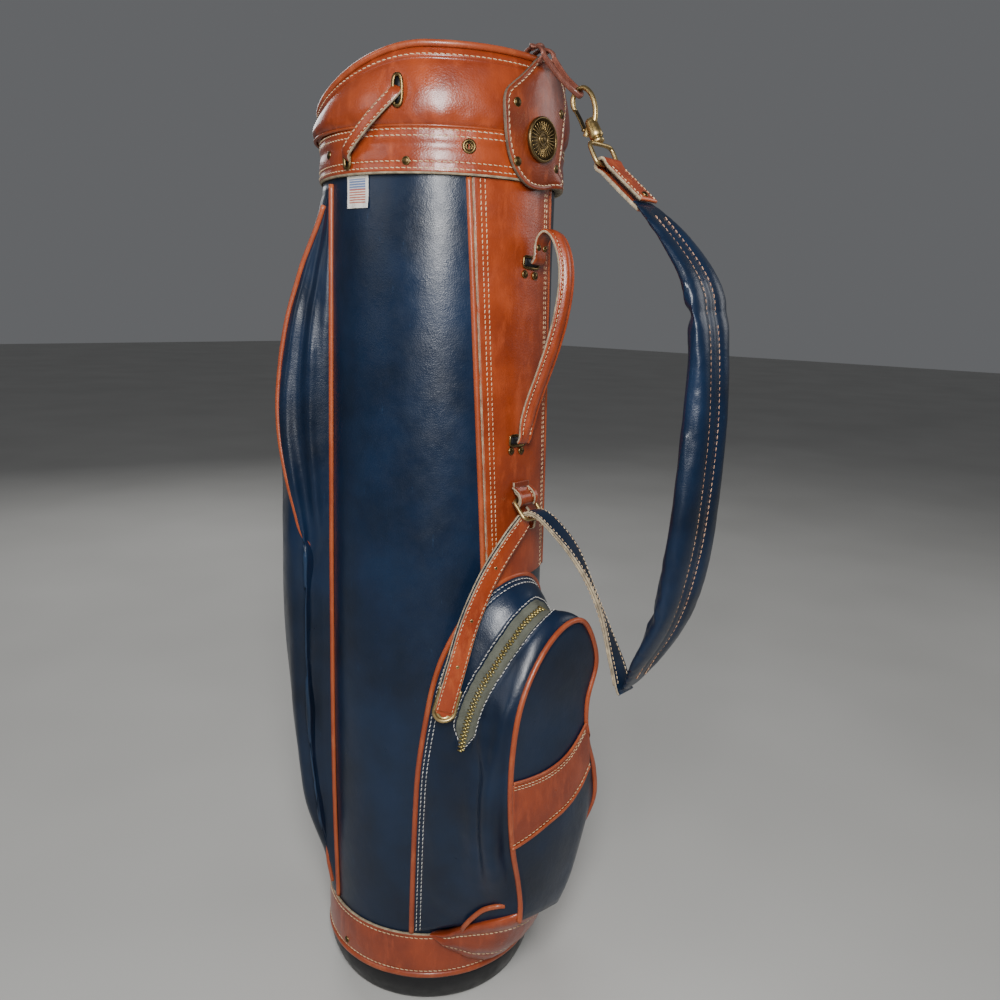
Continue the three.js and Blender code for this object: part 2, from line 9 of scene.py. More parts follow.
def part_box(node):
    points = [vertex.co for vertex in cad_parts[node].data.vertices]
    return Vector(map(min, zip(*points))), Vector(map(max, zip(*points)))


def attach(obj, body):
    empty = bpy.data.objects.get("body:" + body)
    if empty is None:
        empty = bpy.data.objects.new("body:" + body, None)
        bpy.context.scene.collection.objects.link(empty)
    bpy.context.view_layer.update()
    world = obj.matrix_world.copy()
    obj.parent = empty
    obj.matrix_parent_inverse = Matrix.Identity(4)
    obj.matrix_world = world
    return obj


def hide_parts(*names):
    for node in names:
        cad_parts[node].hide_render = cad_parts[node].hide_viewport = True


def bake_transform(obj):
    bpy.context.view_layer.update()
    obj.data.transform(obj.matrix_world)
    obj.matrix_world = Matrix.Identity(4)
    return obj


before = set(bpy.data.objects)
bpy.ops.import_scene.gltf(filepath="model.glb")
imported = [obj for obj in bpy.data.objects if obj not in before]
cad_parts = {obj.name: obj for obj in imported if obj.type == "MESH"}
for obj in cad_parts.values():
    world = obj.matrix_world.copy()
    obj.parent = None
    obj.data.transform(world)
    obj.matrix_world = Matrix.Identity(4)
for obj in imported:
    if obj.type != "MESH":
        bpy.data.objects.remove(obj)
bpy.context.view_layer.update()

# A vintage golf bag, built round its CAD model. The script counts in millimetres and degrees, as the CAD
# model does: azimuth 0 faces -Y, the carrying side, and 90 faces +X. finished() turns them into metres.

MM = 0.001

# ---- measures, shared with the CAD model where not said otherwise ----

GAP = 0.3
BODY_RADIUS = 103.0
WALL = 4.0
SKIN = BODY_RADIUS + GAP
BOOT_TOP = 31.7
CUFF_BOTTOM = 763.0
BAND_TOP = 797.0
BAND_RADIUS = 110.0
COLLAR_RADIUS = 115.0
RIM_FRONT = 860.0
RIM_BACK = 823.0  # the photograph shows it higher than the CAD model has it
RIM_TURN = (50.0, 132.0)  # azimuths between which the rim comes down, wider than in the CAD model
SPINE_HALF = 24.5
SPINE_BOTTOM = 424.0
SPINE_RADIUS = 105.5
SPINE_SKEW = -0.0348  # degrees of azimuth to a millimetre of height
SPINE_LEVEL = 612.0  # where the spine is at azimuth 0
SHIELD_THICK = 2.4
BADGE_HEIGHT = 795.0
HANDLE_TOP = 700.0
HANDLE_BOTTOM = 550.0
HANDLE_SKEW = 0.07  # radians
LACE_TOP = (121.5, 856.0)
HOOK_TOP = (152.0, 828.0)
HOOK_TIP = (180.0, 778.0)
EYE_MIDDLE = 57.5  # along the hook from its top
EYE_HALF = (14.5, 9.5)
STRAP_END = (223.0, 738.0)
STRAP_TWIST = 40.0
LOOP_TOP = (110.0, 498.5)
LOOP_BAR = (124.0, 483.5)
LOOP_HALF = 12.5
POCKET_FACE = 157.0
LONG_TOP = 755.0
LONG_BOTTOM = 84.0
ZIP_X = 99.9
ZIP_Y = 55.0
ZIP_LEAN = math.atan2(25, 112)  # of the ball zip's plane
SLIDER_TURN = math.radians(2.5)  # of the ball zip's slider in that plane

# ---- geometry helpers ----


def around(azimuth, radius, height):
    """Points round the bag's axis, from single values or arrays of them."""
    a = np.radians(azimuth)
    return np.stack(np.broadcast_arrays(radius * np.sin(a), -radius * np.cos(a), height), -1)


def unit(v):
    return v / np.maximum(np.linalg.norm(v, axis=-1, keepdims=True), 1e-9)


def dots(a, b):
    return (a * b).sum(-1, keepdims=True)


def tangents(line):
    return unit(np.gradient(line, axis=0))


def turned_from(azimuth, middle):
    """Degrees round the bag from middle to azimuth, from -180 to 180."""
    return (np.asarray(azimuth, float) - middle + 180) % 360 - 180


def front(distance, height, x=0.0):
    """A point in the upright plane of the handle and the strap."""
    return np.array([x, -distance, height])


def run_along(points):
    """The distance along a polyline to each of its points."""
    return np.concatenate([[0], np.cumsum(np.linalg.norm(np.diff(points, axis=0), axis=1))])


def on_line(where, run, points):
    """What a polyline's points, each at its run, are at one or more other distances."""
    return np.stack([np.interp(where, run, points[:, k]) for k in range(points.shape[1])], -1)


def resampled(points, count, closed=False):
    """count points evenly spaced along a polyline."""
    p = np.asarray(points, float)
    if closed:
        p = np.vstack([p, p[:1]])
    run = run_along(p)
    return on_line(np.linspace(0, run[-1], count, endpoint=not closed), run, p)


def spline(points, count, closed=False):
    """count points evenly spaced along a centripetal Catmull-Rom curve through the given points."""
    p = np.asarray(points, float)
    if closed:
        p = np.vstack([p[-1:], p, p[:2]])
    else:
        p = np.vstack([2 * p[0] - p[1], p, 2 * p[-1] - p[-2]])
    fine = []
    for a, b, c, d in zip(p, p[1:], p[2:], p[3:]):
        t1 = np.linalg.norm(b - a) ** 0.5
        t2 = t1 + np.linalg.norm(c - b) ** 0.5
        t3 = t2 + np.linalg.norm(d - c) ** 0.5
        t = np.linspace(t1, t2, 24, endpoint=False)[:, None]
        ab = (t1 - t) / t1 * a + t / t1 * b
        bc = (t2 - t) / (t2 - t1) * b + (t - t1) / (t2 - t1) * c
        cd = (t3 - t) / (t3 - t2) * c + (t - t2) / (t3 - t2) * d
        abc = (t2 - t) / t2 * ab + t / t2 * bc
        bcd = (t3 - t) / (t3 - t1) * bc + (t - t1) / (t3 - t1) * cd
        fine.append((t2 - t) / (t2 - t1) * abc + (t - t1) / (t2 - t1) * bcd)
    if not closed:
        fine.append(p[-2:-1])
    return resampled(np.vstack(fine), count, closed)


def front_spline(points, count):
    """A curve in the strap's plane through points of (distance, height) or (distance, height, x)."""
    return spline([front(*p) for p in points], count)


def level(x, *table):
    """Smooth value at x of a table of (position, value) pairs."""
    xs, ys = np.array(table, float).T
    slopes = np.gradient(ys, xs)
    x = np.clip(np.asarray(x, float), xs[0], xs[-1])
    i = np.clip(np.searchsorted(xs, x) - 1, 0, len(xs) - 2)
    h = xs[i + 1] - xs[i]
    t = (x - xs[i]) / h
    start = (1 + 2 * t) * (1 - t) ** 2 * ys[i] + t * (1 - t) ** 2 * h * slopes[i]
    return start + t * t * (3 - 2 * t) * ys[i + 1] + t * t * (t - 1) * h * slopes[i + 1]


def ease(x, low, high):
    t = np.clip((np.asarray(x, float) - low) / (high - low), 0, 1)
    return t * t * (3 - 2 * t)


def hump(x, middle, width):
    """A soft bump of height 1."""
    return np.exp(-(((np.asarray(x, float) - middle) / width) ** 2))


def wobble(points, size, seed=0.0):
    """Smooth noise from -1 to 1 whose features are about size millimetres across."""
    flat = np.asarray(points, float).reshape(-1, 3) / size + seed
    values = [noise.noise(Vector(p)) for p in flat]
    return np.array(values).reshape(np.shape(points)[:-1])


def grid_faces(rows, columns, wrap_rows=False, wrap_columns=False):
    faces = []
    for r in range(rows if wrap_rows else rows - 1):
        below, above = r * columns, (r + 1) % rows * columns
        for c in range(columns if wrap_columns else columns - 1):
            d = (c + 1) % columns
            faces.append((below + c, below + d, above + d, above + c))
    return faces


class Shape:
    """Vertices, faces and each face's material number, gathered until they become one piece."""

    def __init__(self):
        self.verts, self.faces, self.paint = [], [], []
        self.count = 0

    def add(self, verts, faces, paint=0):
        verts = np.asarray(verts, float).reshape(-1, 3)
        self.faces += [tuple(self.count + i for i in f) for f in faces]
        self.paint += [paint] * len(faces) if isinstance(paint, int) else list(paint)
        self.verts.append(verts)
        self.count += len(verts)
        return self

    def grid(self, points, wrap_rows=False, wrap_columns=False):
        rows, columns = points.shape[:2]
        return self.add(points, grid_faces(rows, columns, wrap_rows, wrap_columns))

    def swept(self, path, up, section, closed=False, kinds=None):
        """Carries a closed section of (across, out) points along a path. up is the way out from it."""
        path = np.asarray(path, float)
        if closed:
            tangent = np.roll(path, -1, 0) - np.roll(path, 1, 0)
        else:
            tangent = np.gradient(path, axis=0)
        tangent = unit(tangent)
        up = np.broadcast_to(np.asarray(up, float), path.shape)
        up = unit(up - dots(up, tangent) * tangent)
        side = np.cross(tangent, up)
        section = np.asarray(section, float)
        if section.ndim == 2:
            section = np.broadcast_to(section, (len(path), *section.shape))
        ring = path[:, None] + side[:, None] * section[..., :1] + up[:, None] * section[..., 1:]
        rows, columns = ring.shape[:2]
        faces = grid_faces(rows, columns, closed, True)
        paint = list(kinds) * (len(faces) // columns) if kinds is not None else [0] * len(faces)
        if not closed:
            ends = kinds[len(kinds) // 2] if kinds is not None else 0
            faces += [tuple(range(columns))[::-1], tuple((rows - 1) * columns + c for c in range(columns))]
            paint += [ends, ends]
        return self.add(ring, faces, paint)

    def fan(self, ring, tip):
        """A shallow cone from a closed ring to a point."""
        n = len(ring)
        return self.add(np.vstack([ring, [tip]]), [(i, (i + 1) % n, n) for i in range(n)])

    def patch(self, outline, rings, place, under=-0.5, kinds=None):
        """A flat piece with a soft edge. Each ring is (inset, share of the inset outline's size, out)."""
        outline = np.asarray(outline, float)
        n = len(outline)
        tangent = np.roll(outline, -1, 0) - np.roll(outline, 1, 0)
        inward = unit(np.stack([-tangent[:, 1], tangent[:, 0]], -1))
        area = (outline[:, 0] * np.roll(outline[:, 1], -1) - np.roll(outline[:, 0], -1) * outline[:, 1]).sum()
        inward *= 1 if area > 0 else -1
        for _ in range(4):
            inward = unit(np.roll(inward, 1, 0) + inward + np.roll(inward, -1, 0))
        middle = outline.mean(0)
        made = [place(outline[:, 0], outline[:, 1], np.full(n, under))]
        for inset, share, out in rings:
            ring = middle + (outline + inward * inset - middle) * share
            made.append(place(ring[:, 0], ring[:, 1], np.full(n, float(out))))
        points = np.stack(made)
        faces = grid_faces(len(points), n, False, True)
        paint = [0] * len(faces) if kinds is None else [k for k in kinds for _ in range(n)]
        last = (len(points) - 1) * n
        centre = place(middle[:1], middle[1:], np.full(1, float(rings[-1][2])))
        base = place(middle[:1], middle[1:], np.full(1, float(under)))
        tip = len(points) * n
        faces += [(last + i, last + (i + 1) % n, tip) for i in range(n)]
        faces += [((i + 1) % n, i, tip + 1) for i in range(n)]
        paint += [0] * (2 * n)
        return self.add(np.vstack([points.reshape(-1, 3), centre, base]), faces, paint)

    def dome(self, centre, out, radius, profile, sides=20):
        """A small turned piece: profile holds (share of the radius, height) from the edge to the middle."""
        out = unit(np.asarray(out, float))
        across = unit(np.cross(out, [0.0, 0.013, 1.0]))
        up = np.cross(out, across)
        ring = circle(radius, sides) @ np.stack([across, up])
        rings = [centre + ring * r + out * h for r, h in profile]
        faces = grid_faces(len(rings), sides, False, True)
        faces += [tuple(range(sides))[::-1], tuple((len(rings) - 1) * sides + i for i in range(sides))]
        return self.add(np.vstack(rings), faces)

    def stitches(self, path, up, pitch=4.6, length=3.7, thick=0.42, lift=0.15, closed=False):
        """A row of thread stitches along a path on a surface."""
        path = np.asarray(path, float)
        up = np.broadcast_to(np.asarray(up, float), path.shape)
        if closed:
            path, up = np.vstack([path, path[:1]]), np.vstack([up, up[:1]])
        run = run_along(path)
        count = int(run[-1] / pitch)
        if count < 1:
            return self
        at = (np.arange(count) + 0.5) * run[-1] / count
        steps = [(-0.5, 0.3, -0.9), (-0.38, 0.9, 0.0), (0.0, 1.05, 0.25), (0.38, 0.9, 0.0), (0.5, 0.3, -0.9)]
        faces = grid_faces(len(steps), 6, False, True) + [(5, 4, 3, 2, 1, 0), tuple(range(24, 30))]
        for place in at:
            a, b = on_line([place - length / 2, place + length / 2], run, path)
            out = unit(on_line(place, run, up))
            along = b - a
            side = unit(np.cross(unit(along), out))
            slant = side * 0.12 * length
            ring = circle(thick, 6) @ np.stack([side, out])
            rings = []
            for s, size, rise in steps:
                centre = (a + b) / 2 + (along + slant) * s + out * (lift + rise * thick)
                rings.append(centre + ring * size)
            self.add(np.vstack(rings), faces)
        return self


def finished(name, shape, looks, body=None, replaces=(), thick=0.0):
    """Turns a shape into a piece of the model. looks is a material, or one for each paint number."""
    mesh = bpy.data.meshes.new(name)
    mesh.from_pydata((np.vstack(shape.verts) * MM).tolist(), [], shape.faces)
    looks = looks if isinstance(looks, (list, tuple)) else [looks]
    for look in looks:
        mesh.materials.append(look)
    mesh.polygons.foreach_set("material_index", np.minimum(shape.paint, len(looks) - 1))
    mesh.polygons.foreach_set("use_smooth", [True] * len(mesh.polygons))
    shell = bmesh.new()
    shell.from_mesh(mesh)
    bmesh.ops.recalc_face_normals(shell, faces=shell.faces)
    shell.to_mesh(mesh)
    shell.free()
    piece = bpy.data.objects.new(name, mesh)
    bpy.context.scene.collection.objects.link(piece)
    if thick:
        wall = piece.modifiers.new("wall", "SOLIDIFY")
        wall.thickness = thick * MM
        wall.offset = -1
    if body:
        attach(piece, body)
    for slot, members in SLOTS.items():
        looks[0] in members
    if replaces:
        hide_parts(*replaces)
    return piece


def circle(radius, sides=12, flat=1.0):
    turn = np.linspace(0, 2 * math.pi, sides, endpoint=False)
    return np.stack([radius * np.cos(turn), radius * flat * np.sin(turn)], -1)


def rounded_box(half_x, half_y, count, power=0.4, power_y=None):
    """Points round a box with soft corners. The smaller the power, the sharper the corners."""
    ring = circle(1.0, count)
    return np.sign(ring) * np.abs(ring) ** [power, power_y or power] * [half_x, half_y]


def strap_section(width, thick, crown=0.0, across=9, round_edge=0.35):
    """A strap's section and what each stretch of it is: 0 the outer face, 1 a cut edge, 2 the inner face."""
    half = width / 2
    r = thick * round_edge
    xs = np.linspace(half - r, r - half, across)
    top = [(x, thick / 2 + crown * (1 - (x / half) ** 2)) for x in xs]
    side = [(-half + 0.3 * r, thick / 2 - 0.3 * r), (-half, thick / 2 - r), (-half, r - thick / 2),
            (-half + 0.3 * r, 0.3 * r - thick / 2)]
    bottom = [(x, -thick / 2) for x in xs[::-1]]
    points = top + side + bottom + [(-x, y) for x, y in side[::-1]]
    kinds = [0] * (across - 1) + [1] * 5 + [2] * (across - 1) + [1] * 5
    return np.array(points), kinds


def rim_height(azimuth):
    return RIM_FRONT + (RIM_BACK - RIM_FRONT) * ease(np.abs(turned_from(azimuth, 0)), *RIM_TURN)


ROUND = np.linspace(-180, 180, 241)[:-1]


def lathe(shape, profile, kinds=None, ripple=None):
    """A ring turned about the bag's axis from a closed profile of (radius, height) points."""
    profile = np.asarray(profile, float)
    r = np.broadcast_to(profile[None, :, 0], (len(ROUND), len(profile)))
    z = np.broadcast_to(profile[None, :, 1], r.shape)
    a = np.broadcast_to(ROUND[:, None], r.shape)
    if ripple is not None:
        r = r + ripple(a, r, z)
    faces = grid_faces(len(ROUND), len(profile), True, True)
    paint = 0 if kinds is None else list(kinds) * len(ROUND)
    return shape.add(around(a, r, z), faces, paint)


# sizes of the stitches on the small straps, the folded ends, the long straps and the pockets
SMALL_THREAD = dict(pitch=3.8, length=2.9, thick=0.36)
FINE_THREAD = dict(pitch=3.6, length=2.7, thick=0.36)
STRAP_THREAD = dict(pitch=4.0, length=3.0, thick=0.36, lift=0.1)
POCKET_THREAD = dict(pitch=4.2, length=3.3, thick=0.4)
# share of the radius, and height
RIVET = [(1.0, -0.4), (1.0, 0.35), (0.93, 0.75), (0.78, 1.05), (0.72, 1.0), (0.66, 1.2), (0.4, 1.55),
         (0.12, 1.7)]


def add_rivet(shape, azimuth, radius, height, size):
    shape.dome(around(azimuth, radius, height), around(azimuth, 1, 0.0), size, RIVET)


# ---- materials ----


def tone(code):
    """Linear colour of an sRGB code such as 'a5461f'."""
    parts = [int(code[i:i + 2], 16) / 255 for i in (0, 2, 4)]
    return [c / 12.92 if c <= 0.04045 else ((c + 0.055) / 1.055) ** 2.4 for c in parts] + [1.0]


class Look:
    """A procedural material: a Principled shader and the node chains that feed it."""

    def __init__(self, name, roughness=0.5, metallic=0.0, coat=0.0, coat_roughness=0.2, specular=0.5):
        self.material = bpy.data.materials.new(name)
        self.material.use_nodes = True
        self.nodes = self.material.node_tree.nodes
        self.links = self.material.node_tree.links
        self.shader = self.nodes["Principled BSDF"]
        self.shader.inputs["Roughness"].default_value = roughness
        self.shader.inputs["Metallic"].default_value = metallic
        self.shader.inputs["Coat Weight"].default_value = coat
        self.shader.inputs["Coat Roughness"].default_value = coat_roughness
        self.shader.inputs["Specular IOR Level"].default_value = specular
        self.place = self.nodes.new("ShaderNodeTexCoord").outputs["Object"]
        self.height = None

    def node(self, kind, **inputs):
        made = self.nodes.new(kind)
        for key, value in inputs.items():
            socket = made.inputs[key.replace("_", " ")]
            if isinstance(value, bpy.types.NodeSocket):
                self.links.new(value, socket)
            else:
                socket.default_value = value
        return made

    def stretched(self, x=1.0, y=1.0, z=1.0):
        return self.node("ShaderNodeMapping", Vector=self.place, Scale=(x, y, z)).outputs[0]

    def noise(self, size, detail=3.0, rough=0.55, place=None):
        """Noise whose features are about size millimetres across."""
        made = self.node("ShaderNodeTexNoise", Vector=place or self.place, Scale=1 / (size * MM),
                         Detail=detail, Roughness=rough)
        return made.outputs["Fac"]

    def cells(self, size, place=None):
        made = self.node("ShaderNodeTexVoronoi", Vector=place or self.place, Scale=1 / (size * MM))
        return made.outputs["Distance"]

    def spread(self, value, low, high, to_low=0.0, to_high=1.0):
        made = self.node("ShaderNodeMapRange", Value=value, From_Min=low, From_Max=high,
                         To_Min=to_low, To_Max=to_high)
        return made.outputs[0]

    def mixed(self, share, a, b):
        made = self.nodes.new("ShaderNodeMix")
        made.data_type = "RGBA"
        for socket, value in ((made.inputs[0], share), (made.inputs[6], a), (made.inputs[7], b)):
            if isinstance(value, bpy.types.NodeSocket):
                self.links.new(value, socket)
            else:
                socket.default_value = value
        return made.outputs[2]

    def bump(self, value, depth):
        """Adds a relief of depth millimetres."""
        made = self.node("ShaderNodeBump", Strength=1.0, Distance=depth * MM, Height=value)
        if self.height is not None:
            self.links.new(self.height, made.inputs["Normal"])
        self.height = made.outputs[0]

    def edges(self, low, high):
        """From 0 in the hollows to 1 on the worn edges."""
        point = self.nodes.new("ShaderNodeNewGeometry").outputs["Pointiness"]
        return self.spread(point, low, high)

    def done(self, colour=None, roughness=None):
        if colour is not None:
            if isinstance(colour, bpy.types.NodeSocket):
                self.links.new(colour, self.shader.inputs["Base Color"])
            else:
                self.shader.inputs["Base Color"].default_value = colour
        if roughness is not None:
            self.links.new(roughness, self.shader.inputs["Roughness"])
        if self.height is not None:
            self.links.new(self.height, self.shader.inputs["Normal"])
        return self.material


def leather(name, dark, main, light, gloss=0.34, grain=0.10):
    """Polished cowhide: cloudy dye, fine pores, faint scuffs, paler worn edges and painted shade that darkens
    the hollows.
    """
    look = Look(name, coat=0.25, coat_roughness=0.16)
    cloud = look.spread(look.noise(38, 4), 0.3, 0.7)
    body = look.mixed(cloud, tone(dark), tone(main))
    streak = look.spread(look.noise(9, 5, 0.65, look.stretched(1, 1, 0.35)), 0.5, 0.85)
    body = look.mixed(streak, body, tone(light))
    worn = look.edges(0.53, 0.62)
    body = look.mixed(worn, body, tone(light))
    # painted shade: the hollows of every leather piece are darkened in the colour
    hollow_shade = look.edges(0.49, 0.44)
    body = look.mixed(hollow_shade, body, tone(dark))
    look.bump(look.cells(1.5), grain)
    look.bump(look.noise(0.6, 2), grain * 0.5)
    look.bump(look.noise(14, 3), 0.35)
    rough = look.spread(look.noise(22, 5, 0.6), 0.25, 0.75, gloss - 0.09, gloss + 0.12)
    return look.done(body, rough)


def vinyl(name, dark, main, light):
    """Navy coated cloth: a soft leather grain, cloudy fading and fine scuffs."""
    look = Look(name, coat=0.12, coat_roughness=0.22, specular=0.36)
    cloud = look.spread(look.noise(70, 4), 0.3, 0.7)
    body = look.mixed(cloud, tone(dark), tone(main))
    scuff = look.spread(look.noise(5, 8, 0.8, look.stretched(1, 1, 0.25)), 0.62, 0.8)
    body = look.mixed(scuff, body, tone(light))
    worn = look.edges(0.54, 0.64)
    body = look.mixed(worn, body, tone(light))
    look.bump(look.cells(1.1), 0.07)
    look.bump(look.noise(3.2, 4), 0.12)
    look.bump(look.noise(26, 2), 0.5)
    rough = look.spread(look.noise(16, 6, 0.65), 0.3, 0.7, 0.27, 0.42)
    return look.done(body, rough)


def thread(name, code, shade):
    look = Look(name, roughness=0.75)
    twist = look.noise(0.9, 2)
    look.bump(twist, 0.12)
    return look.done(look.mixed(look.spread(look.noise(7, 3), 0.35, 0.7), tone(code), tone(shade)))


def raw_edge(name, code, shade):
    """Cut board and leather edges, fibrous and grubby."""
    look = Look(name, roughness=0.85)
    fibre = look.noise(1.4, 6, 0.7)
    look.bump(fibre, 0.3)
    return look.done(look.mixed(look.spread(look.noise(6, 5), 0.35, 0.65), tone(code), tone(shade)))


def brass(name, dark, main, bright):
    look = Look(name, metallic=1.0)
    patina = look.spread(look.noise(5, 5, 0.7), 0.35, 0.65)
    body = look.mixed(patina, tone(main), tone(dark))
    body = look.mixed(look.edges(0.51, 0.58), body, tone(bright))
    look.bump(look.noise(1.2, 4), 0.06)
    rough = look.spread(look.noise(4, 5, 0.7), 0.3, 0.7, 0.26, 0.5)
    return look.done(body, rough)


def rubber(name):
    look = Look(name, roughness=0.42)
    scuff = look.spread(look.noise(4, 8, 0.75, look.stretched(1, 1, 0.3)), 0.6, 0.78)
    look.bump(look.noise(1.0, 3), 0.05)
    look.bump(look.noise(30, 2), 0.3)
    rough = look.spread(look.noise(12, 5), 0.3, 0.7, 0.34, 0.55)
    return look.done(look.mixed(scuff, tone("0a0b0f"), tone("2a2a2e")), rough)


def woven(name, code, shade, size=0.7, depth=0.2):
    """A plain weave, seen from any side."""
    look = Look(name, roughness=0.9)
    waves = []
    for direction in ("DIAGONAL", "Z"):
        wave = look.node("ShaderNodeTexWave", Vector=look.place, Scale=0.16 / (size * MM), Distortion=0.6)
        wave.bands_direction = direction
        waves.append(wave.outputs["Fac"])
    both = look.node("ShaderNodeMath")
    both.operation = "MULTIPLY"
    for i, wave in enumerate(waves):
        look.links.new(wave, both.inputs[i])
    look.bump(both.outputs[0], depth)
    cloud = look.spread(look.noise(11, 5), 0.3, 0.7)
    return look.done(look.mixed(cloud, tone(code), tone(shade)))


TAN = leather("tan_leather", "732a12", "953d19", "a84c28")
DEEP_TAN = leather("deep_tan_leather", "561e08", "7c300f", "9c4822", gloss=0.4)
PIPING = leather("piping_leather", "7e3014", "9c4420", "b05c34", gloss=0.4, grain=0.06)
ORANGE = leather("orange_leather", "7e2a0c", "9e3f16", "b65a2c", gloss=0.42)
NAVY = vinyl("navy_vinyl", "091424", "10233c", "243d5a")
CREAM = thread("cream_thread", "d9c3a0", "b7936a")
RUST_THREAD = thread("rust_thread", "c09a7c", "9a7058")
WHITE_THREAD = thread("white_thread", "d6d3cc", "a5a49e")
EDGE = raw_edge("raw_edge", "a8987c", "766a58")
DARK_EDGE = raw_edge("dark_raw_edge", "6b5c4c", "4a3d31")
BRASS = brass("antique_brass", "6a5330", "a98a50", "d8c08a")
TEETH = brass("zip_brass", "4d4426", "857340", "b5a468")
BRONZE = brass("dark_bronze", "3a3020", "5e4c30", "8a744c")
BOOT = rubber("boot_rubber")
LACE = leather("lace_leather", "4a2418", "683527", "8a5442", gloss=0.55)
TAPE = woven("zip_tape", "5f6156", "4a4c43")
LINING = woven("dark_lining", "1a1c20", "26282c", 1.0, 0.3)
LABEL = woven("label_cloth", "d9d6cf", "c3bfb6", 0.4, 0.1)
LABEL_RUST = woven("label_rust", "b4624c", "a2523e", 0.4, 0.1)
LABEL_BLUE = woven("label_blue", "6b7ba0", "5c6b90", 0.4, 0.1)
# painted shade: a near-black stand-in for the darkness seen inside holes and slots
HOLE_SHADE = rubber("painted_hole_shade")

# the record's material slot that each look of a piece's outer face belongs to
SLOTS = {
    "tan_leather": (TAN, DEEP_TAN, PIPING, ORANGE, EDGE),
    "navy_vinyl": (NAVY,),
    "antique_brass": (BRASS, TEETH, BRONZE),
    "black_boot": (BOOT,),
    "dark_lace": (LACE,),
    "zip_tape": (TAPE,),
    "dark_lining": (LINING,),
    "white_label": (LABEL,),
}


# ---- base, tube and belt ----


def dents(azimuth, radius, height):
    """Soft unevenness of the tube, out from its wall."""
    points = around(azimuth, radius, height)
    return 0.8 * wobble(points, 130) + 0.3 * wobble(points, 45, 7)


def make_boot():
    profile = [(2, 0.6), (60, 0.6), (62, 0), (90, 0), (94, 0.7), (96.8, 2.4), (98.6, 5.5), (100.2, 9.5),
               (102.2, 14), (103.8, 18.5), (104.9, 23), (105.4, 27), (105.5, 29.6), (105.2, 31),
               (104.4, BOOT_TOP), (SKIN + 0.1, BOOT_TOP), (SKIN + 0.1, 20), (95, 20), (95, 6), (2, 6)]

    def ripple(a, r, z):
        return 0.25 * wobble(around(a, r, z), 40, 3) * (z > 3)

    shape = lathe(Shape(), profile, ripple=ripple)
    finished("boot", shape, BOOT, "bag", ["base_boot"])


def make_tube():
    heights = np.concatenate([[20.3], np.linspace(30, 800, 150), [1.0]])
    a, z = np.meshgrid(ROUND, heights, indexing="ij")
    z = z.copy()
    z[:, -1] = rim_height(ROUND) - 7
    outside = around(a, BODY_RADIUS + dents(a, BODY_RADIUS, z) * ease(z, 80, 140), z)
    inner = around(a[:, ::-1], BODY_RADIUS - WALL, z[:, ::-1])
    shape = Shape().grid(np.concatenate([outside, inner], 1), True, True)
    finished("tube", shape, NAVY, "bag", ["body_shell"])


def make_belt():
    profile = [(SKIN, 32.1), (105.4, 32.0), (106.8, 32.6), (107.3, 34.2), (107, 35.9), (106.1, 36.9),
               (105.5, 37.6), (105.7, 39.0), (106.2, 42), (106.4, 50), (106.5, 60), (106.3, 70),
               (105.9, 74), (105.6, 75.6), (105.9, 77.2), (105.8, 78.4), (105.2, 79.0), (104.3, 79.1),
               (SKIN, 79.0)]
    kinds = [1] * 5 + [0] * 10 + [2] * 3 + [0]

    def wave(a, r, z):
        points = around(a, r, z)
        return (r > 104) * (0.45 * wobble(points, 34, 11) + 0.12 * wobble(points, 7, 2))

    shape = lathe(Shape(), profile, kinds, wave)
    finished("belt", shape, [TAN, PIPING, EDGE], "bag", ["bottom_belt"])
    rows = Shape()
    for z in (39.4, 75.3):
        rows.stitches(around(ROUND, 106.0, z), around(ROUND, 1, 0), lift=0.1, closed=True)
    for azimuth in (176.5, 179.0):
        up = np.linspace(42, 73, 12)
        rows.stitches(around(azimuth, 107.6, up), around(azimuth, 1, 0), lift=0.1)
    lap = Shape()
    up = np.linspace(37, 78.6, 18)
    section, kinds = strap_section(9, 1.2)
    lap.swept(around(177.8, 106.9, up), around(177.8, 1, 0), section, kinds=kinds)
    finished("belt_lap", lap, [TAN, EDGE, TAN], "bag")
    finished("belt_stitches", rows, CREAM, "bag")
    heads = Shape()
    for azimuth in (-95, 85):
        add_rivet(heads, azimuth, 106.3, 45, 3.3)
    finished("belt_rivets", heads, BRONZE, "bag")


# ---- spine panel ----


def spine_azimuth(height):
    """The spine panel leans a little, so its middle turns with the height."""
    return SPINE_SKEW * (np.asarray(height, float) - SPINE_LEVEL)


